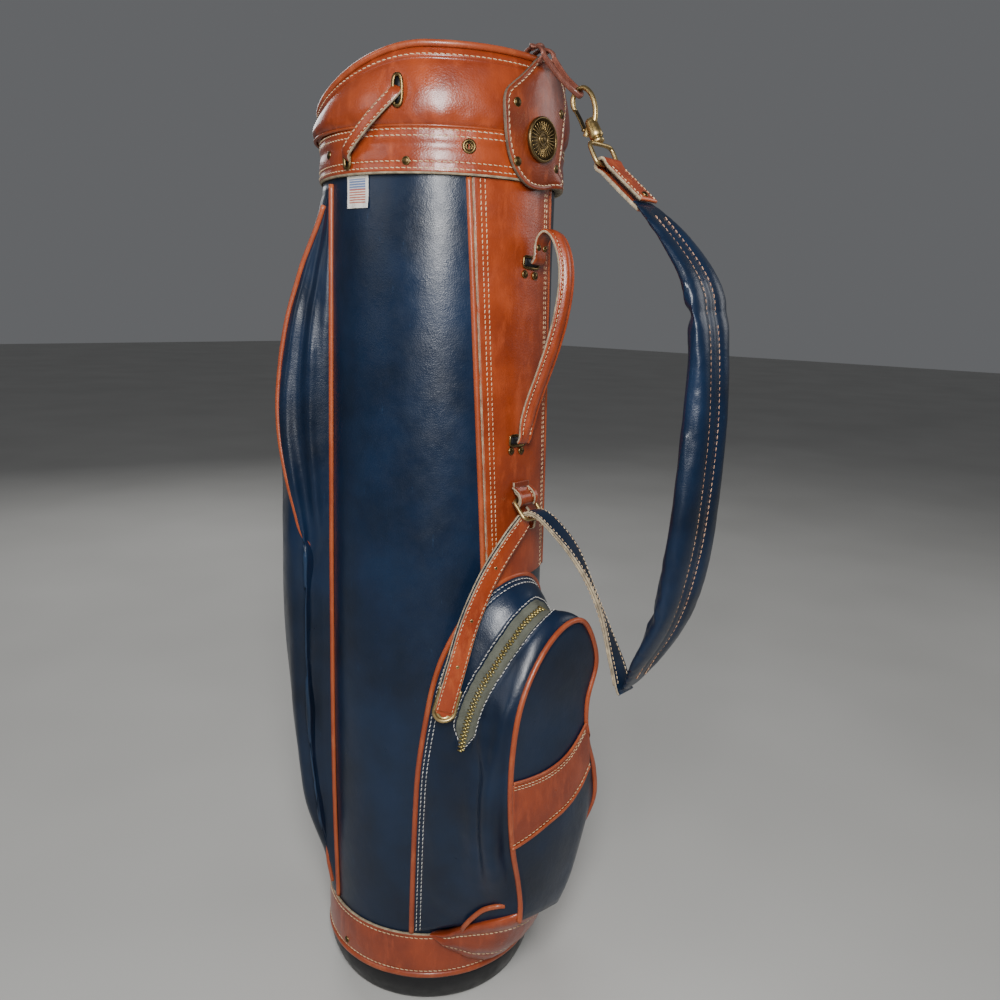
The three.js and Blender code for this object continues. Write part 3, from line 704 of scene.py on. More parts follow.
def make_spine():
    heights = np.linspace(SPINE_BOTTOM, CUFF_BOTTOM - 0.5, 90)
    half = math.radians(SPINE_HALF) * SPINE_RADIUS
    rows = []
    across = np.array([-1, -0.995, -0.985, -0.96, -0.93, *np.linspace(-0.9, 0.9, 21), 0.93, 0.96, 0.985,
                       0.995, 1])
    for share in across:
        inset = half * (1 - abs(share))
        rise = 1.5 * ease(inset, 0, 0.8) - 0.5 * hump(inset, 6.8, 1.1) - 0.5 * hump(inset, 10.6, 1.1)
        azimuth = spine_azimuth(heights) + share * SPINE_HALF
        swell = 0.35 * wobble(around(azimuth, SPINE_RADIUS, heights), 40, 5)
        rows.append(around(azimuth, SKIN + 0.5 + rise + swell * ease(inset, 2, 14), heights))
    top = np.stack(rows)
    under = top * np.array([SKIN / SPINE_RADIUS, SKIN / SPINE_RADIUS, 1.0])
    loop = np.concatenate([top, under[::-1]])
    shape = Shape()
    n = len(heights)
    shape.add(loop, grid_faces(len(loop), n, True, False))
    finished("spine", shape, TAN, "bag", ["spine_panel"])

    piping, cut, rows = Shape(), Shape(), Shape()
    bead = [(-2.6, -0.6), (-2.5, 0.7), (-1.9, 1.9), (-0.9, 2.6), (0.2, 2.7), (1.3, 2.3), (2.1, 1.4),
            (2.6, 0.3), (2.6, -0.6)]
    section = [(-1.5, -0.3), (-1.2, 1.7), (0.0, 2.0), (1.2, 1.7), (1.5, -0.3)]
    for side in (-1, 1):
        edge = spine_azimuth(heights) + side * SPINE_HALF
        normal = around(edge, 1, 0 * heights)
        ragged = 0.5 * wobble(around(edge, 105, heights), 9, side)

        def lane(off, out):
            """A line along this edge, off millimetres outside it."""
            return around(edge + side * np.degrees(off / 105.0), SKIN + out, heights)

        piping.swept(lane(2.4, 0), normal, bead)
        cut.swept(lane(-1.4 - ragged, 0), normal, section)
        for off in (-6.6, -10.6):
            rows.stitches(lane(off, 1.7), normal, pitch=4.2, length=3.3)
    finished("spine_piping", piping, PIPING, "bag")
    finished("spine_cut_edges", cut, EDGE, "bag")
    finished("spine_stitches", rows, CREAM, "bag")


# ---- cuff ----


def worn_in(azimuth, middle):
    """How much the left rear side of the cuff is flattened by wear, most of it at azimuth middle."""
    return hump(turned_from(azimuth, middle), 0, 34)


def band_radius(azimuth, height):
    pinch = 0.9 * hump(height, 784, 4) + 0.5 * hump(height, 770, 2.4) + 0.5 * hump(height, 793, 2.4)
    pucker = 0.16 * np.sin(np.radians(azimuth) * 46) * (hump(height, 770, 4) + hump(height, 794, 4))
    uneven = 0.5 * wobble(around(azimuth, BAND_RADIUS, height), 45, 9)
    return BAND_RADIUS + 0.5 - 4.8 * worn_in(azimuth, -130) - pinch + pucker + uneven


# share of the way up the collar, and radius
COLLAR = [(0.0, 108.2), (0.05, 111.3), (0.12, 113.6), (0.24, 115.2), (0.4, 114.8), (0.56, 113.2),
          (0.7, 111.2), (0.8, 109.4), (0.845, 108.2), (0.862, 108.0), (0.88, 108.9), (0.92, 108.3),
          (1.0, 105.4)]
# azimuth, height, size and depth
DIMPLES = [(-60.5, 822, 9, 3.2), (-60.5, 803, 13, 1.6), (-88, 806, 16, 1.5), (-33, 806, 14, 1.1),
           (42, 812, 18, 1.5), (75, 808, 15, 1.3), (120, 806, 14, 1.6), (-140, 806, 16, 1.2),
           (170, 806, 15, 1.5)]


def collar_radius(azimuth, share, height):
    radius = level(share, *COLLAR)
    soft = ease(share, 0, 0.2) * (1 - ease(share, 0.78, 0.85))
    for a, z, size, depth in DIMPLES:
        across = turned_from(azimuth, a) * 2.0  # about 2 mm to a degree at this radius
        radius = radius - soft * depth * np.exp(-(across ** 2 + (height - z) ** 2) / size ** 2)
    pucker = 0.35 * np.sin(np.radians(azimuth) * 31) * hump(share, 0.1, 0.1)
    radius = radius - 4.6 * worn_in(azimuth, -134) * ease(share, 1, 0.8)
    return radius + pucker + 0.7 * soft * wobble(around(azimuth, 110, height), 30, 21)


def make_cuff():
    heights = np.concatenate([[763.0, 763.2, 764.2], np.linspace(765.5, 795, 30), [796.3, 797.0]])
    a, z = np.meshgrid(ROUND, heights, indexing="ij")
    outside = around(a, band_radius(a, z) - 1.2 * (z < 764) - 1.0 * (z > 796), z)
    inside = around(a[:, [-1, 0]], SKIN, z[:, [-1, 0]])
    loop = np.concatenate([outside, inside], 1)
    kinds = [1, 1] + [0] * (len(heights) - 3) + [0, 0, 1]
    shape = Shape().add(loop, grid_faces(len(ROUND), loop.shape[1], True, True), kinds * len(ROUND))
    finished("cuff_band", shape, [TAN, EDGE], "bag", ["cuff_band"])

    shares = np.linspace(0, 1, 64)
    a, s = np.meshgrid(ROUND, shares, indexing="ij")
    bottom = BAND_TOP + GAP
    z = bottom + s * (rim_height(a) - 5.5 - bottom)
    outside = around(a, collar_radius(a, s, z), z)
    inside = around(a[:, ::-1], SKIN, z[:, ::-1])
    shape = Shape().grid(np.concatenate([outside, inside], 1), True, True)
    piece = finished("cuff_collar", shape, TAN, "bag", ["cuff_collar"])

    edge = around(ROUND, 105.0, rim_height(ROUND) - 2.6)
    welt = Shape().swept(edge, around(ROUND, 1, 0), circle(2.7, 12), closed=True)
    finished("rim_welt", welt, PIPING, "bag", ["rim_welt"])
    seam = around(ROUND, 108.9, BAND_TOP + 1.0)
    fold = [(-1.3, -1), (-0.9, 1.0), (0, 1.5), (0.9, 1.0), (1.3, -1)]
    tuck = Shape().swept(seam, around(ROUND, 1, 0), fold, closed=True)
    finished("cuff_seam", tuck, DEEP_TAN, "bag")

    rows = Shape()
    out = around(ROUND, 1, 0)
    for height in (766.8, 771.8, 790.6, 795.2):
        rows.stitches(around(ROUND, band_radius(ROUND, height) - 0.1, height), out, closed=True)
    share = 0.905  # of the way up the collar, just under the welt
    under_rim = bottom + share * (rim_height(ROUND) - 5.5 - bottom)
    rows.stitches(around(ROUND, collar_radius(ROUND, share, under_rim), under_rim), out, closed=True)
    finished("cuff_stitches", rows, CREAM, "bag")


# ---- shield with its badge ----


def cuff_radius(height):
    """The round form of the cuff that the shield lies on."""
    fullest = 808.0
    fall = np.clip((height - fullest) / (RIM_FRONT - fullest), 0, None)
    rise = np.clip((fullest - height) / (fullest - CUFF_BOTTOM), 0, None)
    return COLLAR_RADIUS + 0.4 - 7.4 * fall ** 2 - 3.6 * rise ** 2


def on_shield(x, height, out):
    """A point out from the cuff, with the shield's two curled corners."""
    curl = 5.0 * hump(x, 32, 9) * hump(height, 762, 9) + 1.5 * hump(x, -38, 6) * hump(height, 800, 25)
    radius = cuff_radius(height) + GAP + out + curl
    y = -np.sqrt(np.maximum(radius ** 2 - x ** 2, 1))
    return np.stack([x, y, height], -1)


def make_shield():
    right = [(3, 858.5), (12, 859), (24, 857), (33, 849), (38, 841), (40, 830), (36, 811), (33.5, 790),
             (32.5, 776), (37, 768), (34, 762), (22, 760), (8, 757.5)]
    left = [(-8, 758.5), (-20, 765), (-28, 774), (-33, 783), (-37, 795), (-38.6, 807), (-38.4, 821),
            (-35.5, 828), (-30, 833), (-21, 840), (-10, 849)]
    outline = spline(right + left, 200, closed=True)
    edge = [(0, -0.5), (0.35, -0.1), (1.0, 0), (2.4, -0.1), (3.4, -0.6), (4.6, -0.1), (6.5, 0.2)]
    rings = [(0, 1, 0.4)] + [(inset, 1, SHIELD_THICK + rise) for inset, rise in edge]
    rings += [(6.5, share, SHIELD_THICK + 0.2) for share in (0.85, 0.68, 0.5, 0.3, 0.12)]
    shape = Shape()
    shape.patch(outline, rings, on_shield, under=0.0, kinds=[1, 1, 1] + [0] * (len(rings) - 3))
    finished("shield", shape, [DEEP_TAN, DARK_EDGE], "bag", ["shield_flap"])

    inner = outline + unit(np.array([0, 806.0]) - outline) * 3.5
    top = SHIELD_THICK - 0.45
    points = on_shield(inner[:, 0], inner[:, 1], np.full(len(inner), top))
    rows = Shape().stitches(points, points * [1, 1, 0], closed=True)
    finished("shield_stitches", rows, CREAM, "bag")

    heads = Shape()
    for azimuth, height in ((-13.5, 819), (13.5, 819), (-12, 776), (12, 776)):
        add_rivet(heads, azimuth, float(cuff_radius(height)) + GAP + SHIELD_THICK, height, 3.7)
    names = [f"shield_rivet_{i}" for i in (1, 2, 3, 4)]
    finished("shield_rivets", heads, BRONZE, "bag", names)

    badge = Shape()
    centre = front(float(cuff_radius(BADGE_HEIGHT)) + GAP + SHIELD_THICK + 0.4, BADGE_HEIGHT)
    rim = [(1.0, -0.8), (1.0, 1.2), (0.975, 1.8), (0.94, 2.1), (0.9, 2.0), (0.875, 1.5), (0.86, 1.1),
           (0.3, 1.2), (0.02, 1.25)]
    badge.dome(centre, [0, -1, 0], 17.5, rim, 64)
    for x, z in circle(1.0, 28):
        ray = np.array([[x * r, -1.25, z * r] for r in np.linspace(6.6, 14.0, 6)])
        badge.swept(centre + ray, [0, -1, 0], circle(0.5, 6, 0.8))
    ring = np.insert(circle(5.2, 40), 1, -1.3, axis=1)
    badge.swept(centre + ring, [0, -1, 0], circle(0.6, 8), closed=True)
    badge.dome(centre + [0, -1.2, 0], [0, -1, 0], 3.0, [(1, 0), (0.9, 0.6), (0.5, 1.0), (0.1, 1.1)], 24)
    finished("badge", badge, BRONZE, "bag", ["badge"])


# ---- tag strap, eyelets, socket and label ----


def oval(half_width, half_height, azimuth, radius, height):
    """A rounded slot's outline, square to the way out at an azimuth."""
    x, z = rounded_box(half_width, half_height, 40, 0.7).T
    across = around(azimuth + 90, 1, 0)
    return around(azimuth, radius, height) + x[:, None] * across + z[:, None] * [0, 0, 1.0]


def make_tag():
    rims, holes = Shape(), Shape()
    for half_width, half_height, azimuth, radius, height in ((3.6, 11, -60.5, 115.3, 822),
                                                             (3.2, 7, -85.5, 111.3, 775)):
        path = oval(half_width, half_height, azimuth, radius, height)
        out = around(azimuth, 1, 0)
        rims.swept(path, out, circle(1.5, 10, 0.75), closed=True)
        # painted shade: a dark cone closes each eyelet's hole
        edge = path - out * 0.9
        holes.fan(edge, edge.mean(0) - out * 1.5)
    finished("tag_eyelets", rims, BRONZE, "bag", ["tag_grommet", "tag_slot_eyelet"])
    finished("tag_hole_shade", holes, HOLE_SHADE, "bag", thick=0.5)

    route = spline([around(-60.6, 113.6, 824), around(-61.4, 117.6, 820), around(-67, 119.4, 809),
                    around(-76, 118.3, 793), around(-84, 115.2, 779), around(-85.4, 111.5, 775)], 60)
    section, kinds = strap_section(9.5, 2.2, 0.5)
    out = route * [1, 1, 0]
    strap = Shape().swept(route, out, section, kinds=kinds)
    finished("tag_strap", strap, [TAN, EDGE, DARK_EDGE], "bag", ["tag_strap"])
    tangent = tangents(route)
    side = np.cross(tangent, unit(out))
    rows = Shape()
    for off in (-3.2, 3.2):
        rows.stitches((route + side * off + unit(out) * 1.3)[6:-6], unit(out)[6:-6], **SMALL_THREAD)
    finished("tag_stitches", rows, CREAM, "bag")

    socket = Shape()
    ring = [(1.0, -0.5), (1.0, 0.6), (0.92, 1.3), (0.8, 1.6), (0.66, 1.5), (0.6, 0.9), (0.52, 0.7),
            (0.46, 1.0), (0.4, 1.1), (0.34, 0.9), (0.3, 0.1), (0.1, 0.0)]
    at = float(band_radius(-32, 784.0))
    socket.dome(around(-32, at, 784), around(-32, 1, 0.0), 5.8, ring, 32)
    finished("snap_socket", socket, BRONZE, "bag", ["snap_socket"])
    heads = Shape()
    for azimuth, height in ((-57.6, 772), (-102, 781), (70, 772), (118, 781)):
        add_rivet(heads, azimuth, float(band_radius(azimuth, float(height))) - 0.2, height, 3.5)
    finished("cuff_rivets", heads, BRONZE, "bag", ["cuff_rivet_1", "cuff_rivet_2"])


def make_label():
    """A small woven label: rust stripes below and blue ones above, on white cloth."""
    a, z = np.meshgrid(np.linspace(-90, -77, 27), np.linspace(738, 763, 52), indexing="ij")
    lift = 0.9 + 0.9 * ease(z, 752, 738) * (0.5 + 0.5 * np.sin(a * 0.8)) + 0.3 * wobble(around(a, 104, z), 8)
    surface = around(a + 0.35 * wobble(around(a, 104, z), 10, 4) * (z < 742), SKIN + lift, z)
    paint = []
    for column in range(26):
        for row in range(51):
            stripe = 0
            if 3 <= column < 23 and 8 <= row < 46:
                if row >= 30:
                    stripe = 2 if row % 4 < 3 else 0
                elif row % 4 < 2:
                    stripe = 1
            paint.append(stripe)
    shape = Shape().add(surface, grid_faces(27, 52), paint)
    finished("woven_label", shape, [LABEL, LABEL_RUST, LABEL_BLUE], "bag", ["woven_label"], thick=0.6)


# ---- carry handle ----


def tilted(points):
    """Turns points by the handle's small lean, about the middle of its height."""
    c, s = math.cos(HANDLE_SKEW), math.sin(HANDLE_SKEW)
    middle = (HANDLE_TOP + HANDLE_BOTTOM) / 2
    p = np.asarray(points, float)
    x, z = p[..., 0], p[..., 2] - middle
    return np.stack([x * c + z * s, p[..., 1], middle - x * s + z * c], -1)


# distance and height
HANDLE_ROUTE = [(112.6, 698.8), (114.8, 701.5), (115.2, 706), (115.4, 713), (118, 720.3), (124, 724),
                (131.5, 720.5), (138.5, 711), (143.5, 697), (145, 680), (142.5, 656), (136.5, 631.5),
                (128.5, 607.5), (119, 580), (115.6, 563), (114.6, 553), (112.4, 548.8)]


def make_handle():
    route = front_spline(HANDLE_ROUTE, 150)
    run = np.linspace(0, 1, 150)
    full = ease(run, 0.10, 0.2) * ease(run, 0.985, 0.9)
    wide = 0.80 + 0.20 * ease(run, 0.03, 0.2) * ease(run, 0.99, 0.9)
    sections = []
    for f, w in zip(full, wide):
        core = 1.5 + 2.9 * f
        half = [(9.2, 0.0), (9.1, 0.9), (8.6, 1.7 + 0.3 * f), (7.8, 1.9 + 0.5 * f), (6.9, 1.6 + 0.3 * f),
                (6.1, 1.2), (5.2, 1.0), (4.3, 1.3 + 0.5 * f), (3.3, core * 0.82), (1.7, core * 0.98)]
        under = [(1.8, -1.4 - 2.2 * f), (5.0, -1.4 - 1.2 * f), (8.0, -1.5), (9.0, -0.9)]
        points = half + [(0.0, core)] + [(-x, y) for x, y in half[::-1]] + [(-x, y) for x, y in under[::-1]]
        points += [(0.0, -1.5 - 2.4 * f)] + under
        sections.append(np.array(points) * [w, 1.0])
    tangent = tangents(route)
    out = np.cross(tangent, [1.0, 0, 0])
    middle = front(118, 640)
    out *= np.sign(dots(out[75:76], route[75:76] - middle))
    kinds = [1] + [0] * 19 + [1] + [2] * 8 + [1]
    shape = Shape().swept(route, out, np.array(sections), kinds=kinds)
    shape.verts = [tilted(v) for v in shape.verts]
    finished("handle", shape, [TAN, EDGE, DEEP_TAN], "handle", ["carry_handle"])
    rows, rivets = Shape(), Shape()
    for x in (-5.6, 5.6):
        line = tilted(route + out * 1.15 + np.array([x, 0, 0]) * wide[:, None])[8:-5]
        rows.stitches(line, out[8:-5], **SMALL_THREAD)
    finished("handle_stitches", rows, CREAM, "handle")
    for x in (-4.2, 4.2):
        rivets.dome(tilted(front(116.6, 711.5, x)), [0, -1, 0.0], 2.7, RIVET)
    finished("handle_end_rivets", rivets, BRONZE, "handle")

    plates, slot_shade, heads = Shape(), Shape(), Shape()
    for height in (HANDLE_TOP, HANDLE_BOTTOM):
        path = np.insert(rounded_box(9.5, 4.5, 48), 1, 0, axis=1) + front(SPINE_RADIUS + 1.0, height)
        plates.swept(tilted(path), [0, -1, 0], circle(1.2, 10, 0.8), closed=True)
        # painted shade: a dark cone fills each plate's slot
        hollow = tilted(path * [0.93, 1, 1] + [0, 0.5, 0])
        slot_shade.fan(hollow, hollow.mean(0) + [0, 1.0, 0])
    for height in (HANDLE_TOP - 10, HANDLE_BOTTOM - 9):
        for x in (-6.5, 6.5):
            heads.dome(tilted(front(SPINE_RADIUS + 0.4, height, x)), [0, -1, 0], 3.4, RIVET)
    finished("handle_plates", plates, BRONZE, "bag", ["handle_plate_top", "handle_plate_bottom"])
    finished("handle_slot_shade", slot_shade, HOLE_SHADE, "bag", thick=0.5)
    names = [f"handle_rivet_{i}" for i in (1, 2, 3, 4)]
    finished("handle_rivets", heads, BRONZE, "bag", names)


# ---- lace, snap hook and shoulder strap ----

HOOK_LINE = np.array([HOOK_TIP[0] - HOOK_TOP[0], HOOK_TIP[1] - HOOK_TOP[1]])
HOOK_LINE = HOOK_LINE / np.linalg.norm(HOOK_LINE)
DOWN_HOOK = np.array([0, -HOOK_LINE[0], HOOK_LINE[1]])


def on_hook(down, out, x=0.0):
    """A point down along the hook from its top, and out from its middle line."""
    dx, dz = HOOK_LINE
    return front(HOOK_TOP[0] + dx * down - dz * out, HOOK_TOP[1] + dz * down + dx * out, x)


def turned_along(shape, start, direction, profile):
    """A turned piece about any axis: profile holds (distance along, radius)."""
    direction = unit(np.asarray(direction, float))
    return shape.dome(start, direction, 1.0, [(r, d) for d, r in profile], 24)


def make_hook():
    wire = Shape()
    route = [on_hook(*p) for p in ((32, 1), (26, 6), (18, 8.8), (9, 8.8), (2, 5), (0.3, -1), (3.2, -6.6),
                                   (8, -8.8), (12.4, -9))]
    path = spline(route, 60)
    swell = np.interp(np.linspace(0, 1, 60), [0, 0.12, 0.5, 0.92, 1], [2.7, 2.0, 1.9, 2.0, 1.5])
    sections = circle(1, 14)[None] * swell[:, None, None]
    wire.swept(path, [1, 0, 0], sections)
    barrel = [(0, 3.4), (1.2, 4.4), (3, 4.7), (7, 4.9), (12, 5.3), (15, 5.3), (16, 4.2), (16.8, 3.7),
              (18, 4.6), (19.6, 4.6), (20.4, 3.2)]
    turned_along(wire, on_hook(26.5, 0), DOWN_HOOK, barrel)
    lug = [on_hook(30.5, -2, 0), on_hook(33, -6, 0), on_hook(35.5, -8.6, 0)]
    wire.swept(spline(lug, 8), [1, 0, 0], circle(2.4, 12))
    finished("snap_hook", wire, BRASS, "hook", ["snap_hook"])

    gate = Shape()
    blade = spline([on_hook(31.5, -7.4), on_hook(21, -7.6), on_hook(12.2, -8.4)], 16)
    section, _ = strap_section(5.2, 1.4)
    gate.swept(blade, on_hook(20, -20) - on_hook(20, 0), section)
    pin = spline([on_hook(31, -7.2, -3.2), on_hook(31, -7.2, 3.2)], 4)
    gate.swept(pin, [0, 0, 1], circle(1.2, 10))
    finished("hook_gate", gate, BRONZE, "gate", ["hook_gate"])

    eye = Shape()
    x, d = rounded_box(*EYE_HALF, 64).T
    ring = on_hook(EYE_MIDDLE, 0) + x[:, None] * np.array([1.0, 0, 0]) + d[:, None] * DOWN_HOOK
    eye.swept(ring, on_hook(0, 1) - on_hook(0, 0), circle(1.7, 12), closed=True)
    finished("hook_eye", eye, BRASS, "shoulder_strap", ["hook_eye"])


def make_lace():
    bottom = on_hook(5.2, 0)
    top = front(*LACE_TOP)
    route = [top + [-6.5, 0, 0], top * 0.45 + bottom * 0.55 + [-6.2, 0.8, -0.8],
             top * 0.1 + bottom * 0.9 + [-4.6, 0, 0],
             bottom + [0, 0, -0.5],
             top * 0.1 + bottom * 0.9 + [4.6, 0, 0], top * 0.55 + bottom * 0.45 + [6.2, 1.0, -1.5],
             top + [6.5, 0, 0]]
    path = spline(route, 110)
    out = on_hook(0, 1) - on_hook(0, 0)
    section = strap_section(4.4, 2.2, 0.3)[0]
    out = out + 0.001  # never quite along the path
    lace = Shape().swept(path, out, section[:, ::-1])
    finished("lace", lace, LACE, "shoulder_strap", ["lace"])
    knot = Shape()
    for x in (-6.5, 6.5):
        over = front_spline([(117, 851, x), (121.8, 856.5, x), (118, 861.8, x * 0.9), (109, 863.5, x * 0.8),
                             (101, 860.0, x * 0.7), (98.6, 852, x * 0.7)], 24)
        knot.swept(over, [0.0, -0.4, 1.0], strap_section(4.6, 2.2, 0.3)[0])
    cross = front_spline([(112, 861.5, -9), (114, 864.8, -3), (112, 865.2, 3), (110, 862, 9)], 20)
    knot.swept(cross, [0, 0, 1.0], circle(2.3, 10, 0.8))
    for x, reach in ((-9, -13), (9, 12)):
        tail = front_spline([(112, 861.5, x), (114, 863.5, x * 1.3), (117, 861, reach)], 10)
        knot.swept(tail, [0, 0, 1.0], strap_section(4.2, 1.8)[0])
    finished("lace_knot", knot, LACE, "bag")


def make_strap_tip():
    """The tan end of the shoulder strap, folded round the hook's eye and sewn to itself."""
    bar = on_hook(EYE_MIDDLE + EYE_HALF[1], 0)
    end = front(*STRAP_END)
    along = unit(end - bar)
    out = np.cross(along, [1.0, 0, 0])
    out = out * np.sign(out[2])
    length = float(np.linalg.norm(end - bar))

    def place(s, h, x):
        """A point s along the tip from the hook's eye, h out from its middle plane."""
        return bar + along * s + out * h + [x, 0, 0]

    turn = np.radians(np.linspace(58, 302, 22))
    outer = [(5.6 * math.cos(t), 5.6 * math.sin(t)) for t in turn]
    lower = [(s, -4.3 - 0.4 * math.sin(s / length * math.pi)) for s in np.linspace(6, length, 14)]
    upper = [(s, 4.2) for s in np.linspace(length - 3, 6, 12)]
    inner_low = [(s, -1.9) for s in np.linspace(length, 6.5, 14)]
    inner = [(3.2 * math.cos(t), 3.2 * math.sin(t)) for t in turn[::-1]]
    inner_up = [(s, 1.9) for s in np.linspace(6.5, length - 3, 12)]
    loop = upper + outer + lower + inner_low + inner + inner_up
    widths = [(-11, 0.0), (-10.7, 0.25), (-9.5, 0.35), (0, 0.4), (9.5, 0.35), (10.7, 0.25), (11, 0.0)]
    points = np.array([[place(s, h + math.copysign(swell, h), x) for s, h in loop] for x, swell in widths])
    n = len(loop)
    last = len(widths) - 1
    paint = [1] * n + [0] * n * (last - 2) + [1] * n
    faces = grid_faces(len(widths), n, False, True)
    for row in (0, last):  # the cut edges, closed across the strap's thickness
        for i in range(n // 2):
            j, k = n - 1 - i, n - 2 - i
            corners = (i, i + 1, k, j) if i + 1 != k else (i, j, k)
            faces.append(tuple(row * n + v for v in corners))
            paint.append(1)
    shape = Shape().add(points, faces, paint)
    finished("strap_tip", shape, [ORANGE, EDGE], "shoulder_strap", ["strap_tip"])
    heads, rows = Shape(), Shape()
    for h, way in ((4.7, 1), (-4.9, -1)):
        for x in (-8.6, 8.6):
            line = np.array([place(s, h, x) for s in np.linspace(8, length - 4, 20)])
            rows.stitches(line, out * way, lift=0.05, **FINE_THREAD)
        heads.dome(place(length - 9, h, 0), out * way, 2.8, RIVET)
    finished("strap_tip_stitches", rows, CREAM, "shoulder_strap")
    finished("strap_tip_rivets", heads, BRONZE, "shoulder_strap")


# distance and height
PAD_ROUTE = [(215, 743), (223, 737), (250, 712), (275, 679), (282, 643), (284, 582), (281, 493), (266, 427),
             (240, 374), (231, 359)]
PAD_LANE = 6.4  # of the stitch rows, from the pad's middle
PAD_HELD = 26.0  # reach of the sewn-down ends


def puffed(piece, voxel, pressure, cap, held):
    """Blows a closed piece up as cloth, by up to cap millimetres. held tells which points stay still."""
    scene = bpy.context.scene
    with bpy.context.temp_override(object=piece, active_object=piece, selected_objects=[piece]):
        remesh = piece.modifiers.new("even", "REMESH")
        remesh.mode = "VOXEL"
        remesh.voxel_size = voxel * MM
        bpy.ops.object.modifier_apply(modifier=remesh.name)
    rest = np.array([v.co for v in piece.data.vertices])
    group = piece.vertex_groups.new(name="held")
    for i in np.nonzero(held(rest / MM))[0]:
        group.add([int(i)], 1.0, "REPLACE")
    cloth = piece.modifiers.new("cloth", "CLOTH")
    settings = cloth.settings
    settings.quality = 5
    settings.mass = 0.3
    settings.tension_stiffness = settings.compression_stiffness = 18
    settings.bending_stiffness = 1.5
    settings.use_pressure = True
    settings.uniform_pressure_force = pressure
    settings.effector_weights.gravity = 0
    settings.vertex_group_mass = group.name
    cloth.point_cache.frame_start, cloth.point_cache.frame_end = 1, 20
    for step in range(1, 21):
        scene.frame_set(step)
    ready = piece.evaluated_get(bpy.context.evaluated_depsgraph_get())
    blown = np.array([v.co for v in ready.data.vertices])
    piece.modifiers.remove(cloth)
    scene.frame_set(1)
    move = blown - rest
    size = np.linalg.norm(move, axis=1, keepdims=True)
    move *= np.minimum(1, cap * MM / np.maximum(size, 1e-9))
    piece.data.vertices.foreach_set("co", (rest + move).astype(np.float32).ravel())
    piece.data.polygons.foreach_set("use_smooth", [True] * len(piece.data.polygons))
    piece.data.update()


def make_pad():
    route = front_spline(PAD_ROUTE, 200)
    run = np.linspace(0, 1, 200)
    tangent = tangents(route)
    out = np.cross(tangent, [1.0, 0, 0])
    out *= np.sign(out[:, 1:2]) * -1
    out = unit(np.where(np.isfinite(out), out, 0) + [0, -1e-6, 0])
    width = level(run, (0, 26), (0.05, 36), (0.13, 46), (0.22, 52), (0.32, 54), (0.85, 54), (0.92, 46),
                  (0.97, 30), (1, 20))
    thick = level(run, (0, 3.0), (0.05, 6.0), (0.15, 9.6), (0.3, 11), (0.85, 11), (0.94, 8), (1, 3.0))
    sections = np.array([rounded_box(w / 2, t / 2, 44, 0.45, 0.75) for w, t in zip(width, thick)])
    shape = Shape().swept(route, out, sections)
    pad = finished("strap_pad", shape, NAVY, None, ["strap_pad"])

    def at_ends(points):
        gaps = [np.linalg.norm(points - front(*PAD_ROUTE[i]), axis=1) for i in (1, -2)]
        return np.minimum(*gaps) < PAD_HELD

    puffed(pad, 3.6, 5.0, 4.0, at_ends)

    co = np.array([v.co for v in pad.data.vertices]) / MM
    nearest = np.array([np.argmin(((route - p) ** 2).sum(1)) for p in co])
    off = co - route[nearest]
    height = (off * out[nearest]).sum(1)
    across = off[:, 0]
    inner = ease(run[nearest], 0.02, 0.1) * ease(run[nearest], 0.98, 0.9)
    lane = hump(np.abs(across), PAD_LANE, 2.2) * 3.0 + hump(across, 0, 5.0) * 1.6
    crease = 0.35 * wobble(co, 16, 3) * np.abs(across) / 27 + 0.4 * wobble(co, 40, 8)
    kink = 3.4 * hump(run[nearest], 0.25, 0.014) * (0.35 + 0.65 * (height < 0))
    move = np.sign(height) * (crease - kink - lane * inner * ease(np.abs(height), 0, 2.0))
    co = co + out[nearest] * move[:, None]
    pad.data.vertices.foreach_set("co", (co * MM).astype(np.float32).ravel())
    pad.data.update()
    smoother = pad.modifiers.new("fine", "SUBSURF")
    smoother.levels = smoother.render_levels = 1
    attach(pad, "shoulder_strap")

    rows = Shape()
    keep = (run > 0.05) & (run < 0.96)
    surface = np.abs(((co - route[nearest]) * out[nearest]).sum(1))
    for way in (1, -1):
        for x in (-PAD_LANE, PAD_LANE):
            near = (np.abs(across - x) < 3.0) & (np.sign(height) == way)
            depth = np.interp(run, *lowest_along(run[nearest][near], surface[near]))
            line = route + out * (way * (depth + 0.5))[:, None] + np.array([x, 0, 0])
            rows.stitches(line[keep], out[keep] * way, pitch=4.4, length=3.6, thick=0.42, lift=0.2)
    finished("strap_pad_stitches", rows, RUST_THREAD, "shoulder_strap")


def lowest_along(at, value, parts=60):
    """The middles of equal parts of at from 0 to 1, and the lowest value in each."""
    edges = np.linspace(0, 1, parts + 1)
    middles, lowest = [], []
    for low, high in zip(edges, edges[1:]):
        inside = (at >= low) & (at < high)
        if inside.any():
            middles.append((low + high) / 2)
            lowest.append(value[inside].min())
    return middles, lowest


